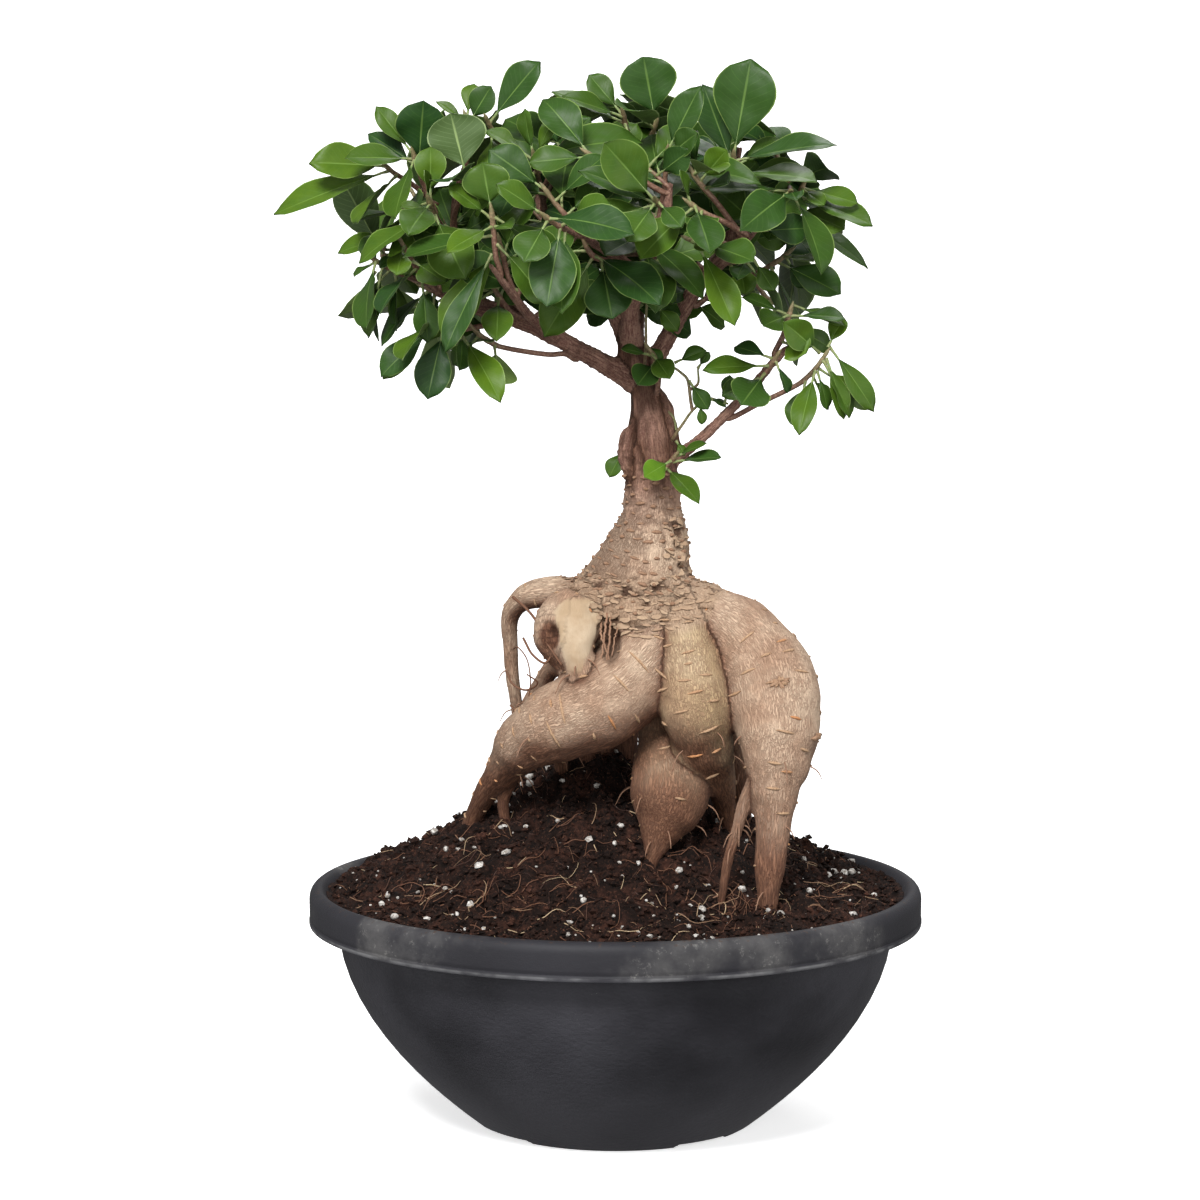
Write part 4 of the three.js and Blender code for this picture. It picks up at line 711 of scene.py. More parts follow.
def leaf_face(settings):
    """The waxy upper face: deep green, with a pale midrib and margin, and painted shade towards the base."""
    paint = Paint("leaf_face", roughness=0.4, Specular_IOR_Level=0.15)
    rib, margin, veins, along, off = blade_marks(paint)
    mottle = paint.noise(120, detail=4, roughness=0.6)
    green = paint.layers(
        settings.deep,
        (paint.attribute("tone"), settings.fresh),
        (paint.attribute("young"), settings.young),
        (mottle.between(0.35, 0.75) * 0.35, (0.025, 0.075, 0.008)),
        # painted shade: darker towards the blade's base
        (along.between(0.5, 0.0) * 0.35, (0.01, 0.03, 0.006)),
        (veins * 0.06, (0.14, 0.26, 0.06)),
        (rib * 0.55, (0.19, 0.31, 0.07)),
        (margin * 0.5, (0.24, 0.34, 0.09)),
        (paint.attribute("spot"), (0.05, 0.022, 0.014)),
    )
    swell = paint.bump(off * off * 1.3 + paint.noise(52, detail=1) * 4.5, 1, 1)
    bump = paint.bump(mottle * 0.35 - veins * 0.25 - rib, 0.4, 0.3, swell)
    return paint.set(Base_Color=green, Roughness=0.34 + mottle * 0.18, Normal=bump)


def leaf_back(settings):
    """The paler underside, with a raised midrib."""
    paint = Paint("leaf_back", roughness=0.5)
    rib, margin, veins = blade_marks(paint)[:3]
    mottle = paint.noise(150, detail=3)
    green = paint.layers(
        (0.045, 0.085, 0.022),
        (paint.attribute("tone"), (0.1, 0.16, 0.035)),
        (paint.attribute("young"), settings.young),
        (veins * 0.25, (0.2, 0.3, 0.11)),
        (rib * 0.85, (0.34, 0.45, 0.17)),
        (margin * 0.6, (0.36, 0.46, 0.2)),
    )
    bump = paint.bump(veins * 0.4 + rib + mottle * 0.2, 0.4, 0.3)
    return paint.set(Base_Color=green, Normal=bump)


def twig_skin():
    """Green at the tip, red brown further down, with pale flecks."""
    paint = Paint("twig_skin", roughness=0.6)
    age = paint.attribute("aged")
    grain = paint.noise(700, detail=3)
    green = paint.mix(grain.between(0.35, 0.7), (0.15, 0.23, 0.07), (0.23, 0.27, 0.1))
    brown = paint.mix(grain.between(0.4, 0.66), (0.12, 0.055, 0.034), (0.22, 0.12, 0.078))
    return paint.set(Base_Color=paint.mix(age, green, brown), Normal=paint.bump(grain, 0.4, 0.3))


def leafy_materials(settings):
    """For a leafy piece's faces of the kinds 0, 1 and 2: upper faces, undersides and twigs."""
    return [leaf_face(settings), leaf_back(settings), twig_skin()]


# Runs of stems

def smooth_run(path, step):
    """Even points with radii along a smooth run, as rows of x, y, z and radius."""
    knots = np.array(path, dtype=float)
    first = 2 * knots[0, :3] - knots[1, :3]
    last = 2 * knots[-1, :3] - knots[-2, :3]
    ends = np.vstack([first, knots[:, :3], last])
    rows = []
    for i in range(len(knots) - 1):
        p0, p1, p2, p3 = ends[i:i + 4]
        d0, d1, d2 = (max(norm(b - a) ** 0.5, 1e-4) for a, b in ((p0, p1), (p1, p2), (p2, p3)))
        start = ((p1 - p0) / d0 - (p2 - p0) / (d0 + d1) + (p2 - p1) / d1) * d1
        end = ((p2 - p1) / d1 - (p3 - p1) / (d1 + d2) + (p3 - p2) / d2) * d1
        count = max(2, int(norm(p2 - p1) / step))
        for k in range(count + (i == len(knots) - 2)):
            t = k / count
            at = (
                (2 * t**3 - 3 * t**2 + 1) * p1 + (t**3 - 2 * t**2 + t) * start
                + (3 * t**2 - 2 * t**3) * p2 + (t**3 - t**2) * end
            )
            rows.append((*at, knots[i, 3] + (knots[i + 1, 3] - knots[i, 3]) * t * t * (3 - 2 * t)))
    return np.array(rows)


def rings_along(rows, sides):
    """Round rings square to a run, each turned as little as it can be from the one before."""
    rings = []
    side = None
    for i, row in enumerate(rows):
        along = rows[min(i + 1, len(rows) - 1), :3] - rows[max(i - 1, 0), :3]
        along = along / max(norm(along), 1e-9)
        if side is None:
            side = np.array((0.0, 0.0, 1.0)) if abs(along[2]) < 0.9 else np.array((1.0, 0.0, 0.0))
        side = side - along * side.dot(along)
        side = side / norm(side)
        other = np.cross(along, side)
        turn = tau * np.arange(sides) / sides
        ring = row[:3] + row[3] * (np.cos(turn)[:, None] * side + np.sin(turn)[:, None] * other)
        rings.append(ring)
    return rings


class Skin:
    """Points and faces gathered for one mesh."""

    def __init__(self):
        self.points = []
        self.faces = []
        self.marks = {}
        self.kinds = []

    def add(self, points, faces, kinds=None, **marks):
        start = len(self.points)
        self.points.extend(tuple(p) for p in points)
        self.faces.extend(tuple(start + i for i in face) for face in faces)
        self.kinds.extend(kinds or [0] * len(faces))
        for name, values in marks.items():
            row = self.marks.setdefault(name, [0.0] * start)
            row.extend([0.0] * (start - len(row)))
            row.extend(values if hasattr(values, "__len__") else [values] * len(points))

    def tube(self, rows, sides, kind=0, **marks):
        """Adds a closed tube along rows of x, y, z and radius."""
        rings = rings_along(rows, sides)
        points = np.vstack(rings)
        faces = []
        for r in range(len(rings) - 1):
            for i in range(sides):
                a = r * sides + i
                b = r * sides + (i + 1) % sides
                faces.append((a, b, b + sides, a + sides))
        faces.append(tuple(range(sides - 1, -1, -1)))
        faces.append(tuple((len(rings) - 1) * sides + i for i in range(sides)))
        spread = {n: np.repeat(v, sides) if hasattr(v, "__len__") else v for n, v in marks.items()}
        self.add(points, faces, [kind] * len(faces), **spread)

    def piece(self, name):
        piece = mesh_piece(name, self.points, self.faces)
        for mark_name, row in self.marks.items():
            mark(piece, mark_name, row + [0.0] * (len(self.points) - len(row)))
        piece.data.polygons.foreach_set("material_index", self.kinds)
        return piece


class Foliage(Skin):
    """Twigs and leaves with a map across and along each blade."""

    def __init__(self):
        super().__init__()
        self.uv = []

    def tube(self, rows, sides, **marks):
        super().tube(rows, sides, 2, **marks)
        self.uv.extend([(0.5, 0)] * (len(rows) * sides))

    def piece(self, name):
        piece = super().piece(name)
        layer = piece.data.uv_layers.new(name="blade")
        index = np.empty(len(piece.data.loops), dtype=int)
        piece.data.loops.foreach_get("vertex_index", index)
        layer.data.foreach_set("uv", np.array(self.uv, dtype=np.float32)[index].ravel())
        bpy.ops.object.shade_smooth_by_angle(angle=radians(60))
        return piece


# The bowl

def wall_radius(z):
    """The bowl's outside, which flares up from the foot."""
    below_band = 1 - min(z / (BOWL_HEIGHT - BAND_HEIGHT), 1)
    return WALL_RADIUS - (WALL_RADIUS - FOOT_RADIUS) * below_band**WALL_FLARE


def inner_radius(z):
    """The bowl's inside, which opens out behind the band."""
    return wall_radius(z) - WALL + 12 * sqrt(max(0, (z - BOWL_HEIGHT + BAND_HEIGHT) / BAND_HEIGHT))


def bowl_profile():
    """Radius and height round the bowl's cut edge, from under its middle out, up, in and down again."""
    under = [
        (0, 0), (21.6, 0), (22.4, 0.4), (23.6, 2.6), (24.4, 3), (57.6, 3), (58.4, 2.6), (59.6, 0.4),
        (60.4, 0),
    ]
    foot = [(76.8, 0), (77.7, 0.3), (78.2, 0.9)]
    wall = [(wall_radius(z), z) for z in (2, 4, 7, 10, 14, 20, 27, 35, 44, 54, 64, 75, 86, 96, 105, 112)]
    under_band = [(158.5, 116), (158.5, 129.3), (159.2, 130), (169.6, 130), (170.1, 129.4)]
    band = [
        (170.9, 117), (171.3, 116.3), (172.1, 116), (174.1, 116), (174.8, 116.3), (175, 117), (175, 118.6),
        (174.8, 119.1), (174.3, 119.4), (174.3, 119.9), (174.6, 120.6), (174.7, 122), (174.8, 130.6),
    ]
    lip = [
        (174.6, 132.4), (174, 134.1), (173, 135.5), (171.7, 136.5), (170.2, 137), (168.8, 136.9),
        (167.5, 136.3), (166.6, 135.2),
    ]
    inside = [(inner_radius(z), z) for z in (133, 128, 122, 116, 104, 88, 70, 52, 36, 22, 12)]
    floor = [(inner_radius(12) - 4, 8.2), (inner_radius(7) - 6, FLOOR), (0, FLOOR)]
    return under + foot + wall + under_band + band + lip + inside + floor


def cut_out(bowl, away, turn):
    """Cuts the object that was added last out of the bowl, so far from its axis."""
    cutter = bpy.context.object
    cutter.location = (cos(turn) * away * MM, sin(turn) * away * MM, 0)
    bpy.ops.object.transform_apply(location=True, rotation=True, scale=True)
    apply_modifier(bowl, "BOOLEAN", operation="DIFFERENCE", solver="EXACT", object=cutter)
    bpy.data.objects.remove(cutter)


class FICUS_OT_bowl(bpy.types.Operator):
    """Turns the bowl from its profile and cuts its foot's notches and drain holes"""

    bl_idname = "ficus.bowl"
    bl_label = "Bowl"

    def execute(self, context):
        settings = context.scene.ficus_bowl
        profile = bowl_profile()
        bowl = mesh_piece("bowl_turned", [(r, 0, z) for r, z in profile], [])
        bowl.data.edges.add(len(profile) - 1)
        for i, edge in enumerate(bowl.data.edges):
            edge.vertices = (i, i + 1)
        bowl.data.update()
        steps = settings.steps
        apply_modifier(bowl, "SCREW", steps=steps, render_steps=steps, use_merge_vertices=True)
        face_outwards(bowl)
        for i in range(4):
            turn = radians(FIRST_NOTCH + 90 * i)
            bpy.ops.mesh.primitive_cube_add(size=1)
            bpy.context.object.dimensions = (60 * MM, 38 * MM, 5.6 * MM)
            bpy.context.object.rotation_euler.z = turn
            cut_out(bowl, NOTCH_CIRCLE, turn)
            bpy.ops.mesh.primitive_cylinder_add(vertices=32, radius=5 * MM, depth=30 * MM)
            cut_out(bowl, DRAIN_CIRCLE, turn)
        if len(bowl.data.polygons) < 1000:
            self.report({"ERROR"}, "The bowl's cuts failed")
            return {"CANCELLED"}
        take_up(bowl)
        bpy.ops.object.shade_smooth_by_angle(angle=radians(42))
        finish_piece(bowl, "pot", [plastic(settings)], "bowl")
        return {"FINISHED"}


# The soil and what lies on it

def soil_height(x, y):
    """How high the peat lies, with rows of x and y."""
    away = np.hypot(x - MOUND_CENTRE[0], y - MOUND_CENTRE[1]) / MOUND_RADIUS
    mound = (1 - np.minimum(away, 1) ** 2) ** 2
    away = np.hypot(x - HEAP_CENTRE[0], y - HEAP_CENTRE[1]) / HEAP_RADIUS
    heap = (1 - np.minimum(away, 1) ** 2) ** 2
    lumps = np.sin(0.11 * x + 1.3) * np.cos(0.13 * y) + 0.6 * np.sin(0.23 * (x + y))
    settle = np.clip((166 - np.hypot(x, y)) / 20, 0, 1)
    return SOIL_EDGE + MOUND_HEIGHT * mound + HEAP_HEIGHT * heap + 1.3 * lumps * settle


def soil_surface(x, y):
    """The same with its clods and crumbs."""
    points = np.stack([x, y, np.zeros_like(x)], axis=1)
    settle = np.clip((163 - np.hypot(x, y)) / 6, 0, 1)
    clods = layered_noise(points, 17, seed=3, layers=3)
    pits = ease(0.25, 0.6, soft_noise(points, 9, seed=38))
    crumbs = fade(0.1, 0.8, cell_distance(points, 6.5, seed=40))
    fine = fade(0.1, 0.8, cell_distance(points, 2.9, seed=45))
    big = fade(0.15, 0.85, cell_distance(points, 14, seed=52))
    relief = clods * 3.4 + big * 3.4 + crumbs * 3.2 - pits * 5.4 + fine * 1.5 - 2.4
    return soil_height(x, y) + relief * (0.2 + 0.8 * settle)


class FICUS_OT_soil(bpy.types.Operator):
    """Heaps the peat with its clods up to the roots"""

    bl_idname = "ficus.soil"
    bl_label = "Soil"

    def execute(self, context):
        settings = context.scene.ficus_soil
        around = 500
        rings = 132
        radii = (np.arange(1, rings + 1) / rings) ** 0.82 * (inner_radius(SOIL_EDGE) + 0.1)
        turn = tau * np.arange(around) / around
        x = (radii[:, None] * np.cos(turn)).ravel()
        y = (radii[:, None] * np.sin(turn)).ravel()
        top = np.stack([x, y, soil_surface(x, y)], axis=1)
        low = []
        for z in (126, 116, 90, 62, 40, 24, 12, FLOOR + 0.1):
            radius = inner_radius(z) + 0.1 if z > 12 else inner_radius(z) - 3
            low.append(np.stack([radius * np.cos(turn), radius * np.sin(turn), np.full(around, z)], axis=1))
        middle = soil_surface(np.zeros(1), np.zeros(1))[0]
        points = np.vstack([[(0, 0, middle)], top, *low, [(0, 0, FLOOR + 0.1)]])
        faces = [(0, 1 + i, 1 + (i + 1) % around) for i in range(around)]
        last = 1 + (rings + len(low) - 1) * around
        for a in range(1, last, around):
            for i in range(around):
                on = (i + 1) % around
                faces.append((a + i, a + around + i, a + around + on, a + on))
        faces += [(last + i, len(points) - 1, last + (i + 1) % around) for i in range(around)]
        soil = mesh_piece("peat", points, faces)
        bpy.ops.object.shade_smooth()
        finish_piece(soil, "soil", [damp_soil(settings, "peat", 1.0)], "soil")
        return {"FINISHED"}


def rough_stone(size, corners, draw):
    """A small lump with few faces: points round a middle, on a squashed and jittered ball."""
    if corners == 12:
        golden = (1 + 5**0.5) / 2
        base = []
        for a in (-1, 1):
            for b in (-golden, golden):
                base += [(0, a, b), (a, b, 0), (b, 0, a)]
        base = np.array(base) / hypot(1, golden)
    else:
        base = np.array([(1, 0, 0), (-1, 0, 0), (0, 1, 0), (0, -1, 0), (0, 0, 1), (0, 0, -1)], dtype=float)
    scale = size / 2 * np.array([draw.uniform(0.75, 1.15), draw.uniform(0.7, 1), draw.uniform(0.55, 0.9)])
    jitter = np.array([draw.uniform(0.8, 1.15) for _ in base])
    lean = Vector((draw.uniform(-0.4, 0.4), draw.uniform(-0.4, 0.4), 1))
    turned = np.array(Vector((0, 0, 1)).rotation_difference(lean).to_matrix())
    spin = draw.uniform(0, pi)
    about = np.array([[cos(spin), -sin(spin), 0], [sin(spin), cos(spin), 0], [0, 0, 1]])
    return (base * jitter[:, None] * scale) @ turned.T @ about.T


def hull_faces(points):
    """The outward triangles round a small set of points."""
    mesh = bmesh.new()
    verts = [mesh.verts.new(p) for p in points]
    bmesh.ops.convex_hull(mesh, input=verts)
    mesh.verts.index_update()
    faces = [tuple(v.index for v in face.verts) for face in mesh.faces]
    mesh.free()
    return faces


def scatter(count, draw, reach):
    """Random spots on the soil, at most so far from the bowl's axis."""
    spots = []
    while len(spots) < count:
        x = draw.uniform(-reach, reach)
        y = draw.uniform(-reach, reach)
        if hypot(x, y) < reach:
            spots.append((x, y))
    heights = soil_surface(np.array([s[0] for s in spots]), np.array([s[1] for s in spots]))
    return [(x, y, z) for (x, y), z in zip(spots, heights)]


def strew_stones(name, count, corners, sizes, lift, draw, hulls, material):
    """Lays stones of many sizes, most of them small, each sunk a little into the soil."""
    skin = Skin()
    for x, y, z in scatter(count, draw, 162):
        size = sizes[0] + (sizes[1] - sizes[0]) * draw.random() ** 2.2
        skin.add(rough_stone(size, corners, draw) + (x, y, z + size * lift), hulls[corners])
    piece = skin.piece(name)
    face_outwards(piece)
    take_up(piece)
    bpy.ops.object.shade_smooth_by_angle(angle=radians(50))
    finish_piece(piece, "soil", [material])


def lay_fibre(skin, spot, heading, length, tone, draw, arch=1.6):
    """One thin fibre that runs over the soil from a spot, bending as it goes."""
    count = max(3, int(length / 2.2))
    bend = draw.uniform(-0.22, 0.22)
    x, y = spot
    run = []
    for i in range(count):
        if hypot(x, y) > 161:
            break
        run.append((x, y))
        heading += bend + draw.uniform(-0.2, 0.2)
        x += cos(heading) * length / count
        y += sin(heading) * length / count
    if len(run) < 3:
        return
    run = np.array(run)
    rise = 0.9 + arch * np.sin(np.linspace(0.2, 2.9, len(run))) * draw.random()
    height = soil_surface(run[:, 0], run[:, 1]) + rise
    height = np.convolve(np.pad(height, 1, mode="edge"), (0.3, 0.4, 0.3), mode="valid")
    thick = draw.uniform(0.12, 0.3) * np.linspace(1, 0.5, len(run))
    rows = np.column_stack([run, height, thick])
    skin.tube(rows, 5, tone=tone)


class FICUS_OT_litter(bpy.types.Operator):
    """Strews crumbs, white perlite and loose fibres over the soil"""

    bl_idname = "ficus.litter"
    bl_label = "Crumbs, Perlite and Fibres"

    def execute(self, context):
        settings = context.scene.ficus_soil
        draw = random.Random(11)
        hulls = {6: hull_faces(rough_stone(2, 6, draw)), 12: hull_faces(rough_stone(2, 12, draw))}
        crumb = damp_soil(settings, "crumb", 1.35)
        strew_stones("crumbs", settings.crumbs, 6, (1.3, 6.6), 0.22, draw, hulls, crumb)
        strew_stones("perlite_grains", settings.perlite, 12, (1.4, 6.4), 0.3, draw, hulls, perlite())
        skin = Skin()
        for x, y, z in scatter(settings.fibres, draw, 158):
            heading = draw.uniform(0, tau)
            length = draw.uniform(5, 34) * draw.random() + 3
            lay_fibre(skin, (x, y), heading, length, draw.random() ** 1.8, draw)
        for spot, heading, length, tone in LAID_FIBRES:
            lay_fibre(skin, spot, heading, length, tone, draw)
        for middle, heading, count in TANGLES:
            for _ in range(count):
                spot = (middle[0] + draw.gauss(0, 11), middle[1] + draw.gauss(0, 9))
                turn = heading + draw.gauss(0, 0.7)
                length = draw.uniform(14, 38)
                lay_fibre(skin, spot, turn, length, draw.uniform(0.25, 0.8), draw, draw.uniform(1, 6))
        piece = skin.piece("loose_fibres")
        bpy.ops.object.shade_smooth()
        finish_piece(piece, "soil", [fibre()])
        return {"FINISHED"}


# Fibres that the photograph shows lying on the soil: start, heading in radians, length and tone
LAID_FIBRES = [
    ((-104, -86), 0.5, 26, 0.8), ((-96, -98), 0.9, 22, 0.3), ((-40, -118), 0.35, 34, 0.35),
    ((-28, -126), 0.6, 24, 0.9), ((30, -120), 1.2, 20, 0.7), ((48, -112), 0.3, 30, 0.3),
    ((66, -116), 0.7, 26, 0.85), ((58, -92), 1.0, 34, 0.9), ((62, -92), 0.75, 30, 0.75),
    ((66, -94), 0.5, 30, 0.95), ((56, -90), 1.3, 24, 0.6), ((-118, -52), 0.2, 28, 0.7),
    ((-122, -30), -0.3, 24, 0.5), ((100, -60), 0.4, 26, 0.4), ((112, -40), 0.9, 24, 0.8),
]

# Where fibres lie tangled: middle, main heading in radians, how many
TANGLES = [
    ((66, -84), 0.9, 16), ((44, -92), 0.2, 7), ((-104, -66), 0.4, 9), ((-70, -92), 0.7, 10),
    ((-44, -70), 0.5, 5), ((96, -78), 0.5, 9), ((8, -118), 0.2, 5), ((118, -30), 0.7, 7),
    ((-30, -40), 1.2, 6), ((20, -52), 0.4, 6),
]


# The wood

def thinned(rows):
    """Thins a branch's end down to the twig that goes on from it."""
    left = norm(rows[:, :3] - rows[-1, :3], axis=1)
    rows[:, 3] = np.maximum(rows[:, 3] * (1 - 0.35 * fade(0, 16, left)), 1.5)
    return rows


def limb_runs():
    """Every limb as even points, with its name and whether it is a root, the trunk or a branch."""
    limbs = [("trunk", "trunk", TRUNK)]
    for kind, paths in (("trunk", FOLDS), ("root", ROOTS), ("branch", BRANCHES)):
        limbs += [(name, kind, path) for name, path in paths.items()]
    runs = [(name, kind, smooth_run(path, 1.3)) for name, kind, path in limbs]
    return [(name, kind, thinned(rows) if kind == "branch" else rows) for name, kind, rows in runs]


def wood_field(points, runs):
    """Signed distance to the wood with soft forks, and what limb and step of it each point is nearest to.

    After these come the radius there, and how much further off the next limb is.
    """
    first = np.full(len(points), 1e9)
    second = np.full(len(points), 1e9)
    limb = np.zeros(len(points), dtype=int)
    step = np.zeros(len(points), dtype=int)
    radius = np.zeros(len(points))
    square = (points**2).sum(axis=1)
    for number, (*_, rows) in enumerate(runs):
        best = np.full(len(points), 1e9)
        where = np.zeros(len(points), dtype=int)
        for start in range(0, len(points), 20000):
            part = slice(start, start + 20000)
            away = square[part, None] + (rows[:, :3] ** 2).sum(axis=1) - 2 * points[part] @ rows[:, :3].T
            where[part] = away.argmin(axis=1)
            nearest = away[np.arange(len(away)), where[part]]
            best[part] = np.sqrt(np.maximum(nearest, 0)) - rows[where[part], 3]
        nearer = best < first
        second = np.where(nearer, first, np.minimum(second, best))
        first = np.where(nearer, best, first)
        limb[nearer] = number
        step[nearer] = where[nearer]
        radius[nearer] = rows[where[nearer], 3]
    soft = np.clip(radius * 0.3, 1.2, 6)
    near = np.maximum(soft - np.abs(first - second), 0) / soft
    return first - near**2 * soft / 4, limb, step, radius, second - first


def limb_frame(points, runs, limb, step):
    """The way along the limb, its heading and the direction out of it, for each point."""
    along = np.zeros(len(points))
    heading = np.zeros((len(points), 3))
    out = np.zeros((len(points), 3))
    for number, (*_, rows) in enumerate(runs):
        here = limb == number
        if not here.any():
            continue
        lengths = np.concatenate([[0], np.cumsum(norm(np.diff(rows[:, :3], axis=0), axis=1))])
        tangents = np.gradient(rows[:, :3], axis=0)
        tangents /= norm(tangents, axis=1)[:, None]
        heading[here] = tangents[step[here]]
        offset = points[here] - rows[step[here], :3]
        ahead = (offset * heading[here]).sum(axis=1)
        along[here] = lengths[step[here]] + ahead + LIMB_SHIFT * number
        away = offset - heading[here] * ahead[:, None]
        out[here] = away / np.maximum(norm(away, axis=1), 1e-6)[:, None]
    return along, heading, out


# How far apart the limbs' patterns start, so that no two are alike
LIMB_SHIFT = 53.7
# Swellings on the wood: middle, radius and height
SWELLINGS = [
    ((33, -10, 333), 6, 3.4), ((30, -16, 324), 5, 2.2), ((4, -12, 352), 5, 1.4), ((27, -14, 360), 5, 1.4),
    ((12, -14, 372), 4, 1.2), ((-4, -26, 309), 7, 2.0), ((33, -27, 304), 8, 2.0), ((8, -36, 297), 9, 2.2),
    ((22, -33, 300), 7, 1.8), ((14, -6, 432), 4, 1.8), ((36, -24, 292), 7, 2.2), ((-12, -22, 300), 6, 1.6),
    ((116, -44, 229), 4, 2.4), ((3, -8, 360), 4, 1.4), ((38, -6, 318), 5, 2.0),
]
# How many short cork lines, small flakes and torn flakes are laid on the wood
LOOSE_CORK_LINES = 460
SMALL_FLAKES = 330
TORN_FLAKES = 34


def skin_near(tree, spot):
    """The place on the wood that is nearest to a spot, and the way out of the wood there."""
    hit, out = tree.find_nearest(Vector(spot))[:2]
    return np.array(hit), np.array(out)


def skin_seen(tree, x, z):
    """The place that the front view shows at x and z, and the way out of the wood there, or None for both."""
    hit, out = tree.ray_cast(Vector((x, -300, z)), Vector((0, 1, 0)))[:2]
    return (None, None) if hit is None else (np.array(hit), np.array(out))


def spread_out(points, draw, most, spacing):
    """Picks points at random, each as far from those before it as spacing says, unless it says None."""
    order = list(range(len(points)))
    draw.shuffle(order)
    placed = []
    for i in order:
        if len(placed) >= most:
            return
        gap = spacing(i)
        if gap and not any(norm(points[i] - p) < gap for p in placed):
            placed.append(points[i])
            yield i


def calm(wood, points, radius):
    """Evens out the steps that a quickly tapering limb leaves, on the stout limbs, and most on the knob."""
    edges = np.empty(len(wood.data.edges) * 2, dtype=int)
    wood.data.edges.foreach_get("vertices", edges)
    first, second = edges.reshape(-1, 2).T
    most = len(points)
    count = np.bincount(first, minlength=most) + np.bincount(second, minlength=most)
    pull = 0.55 * ease(3, 8, radius)[:, None]
    away = norm((points - KNOB_MIDDLE) / (20, 24, 24), axis=1)
    knob = fade(0.8, 1, away)[:, None]
    for strength in [pull] * 26 + [pull * knob] * 18:
        total = [
            np.bincount(first, row[second], most) + np.bincount(second, row[first], most)
            for row in points.T
        ]
        points = points + (np.stack(total, axis=1) / count[:, None] - points) * strength
    move_points(wood, points)
    return points


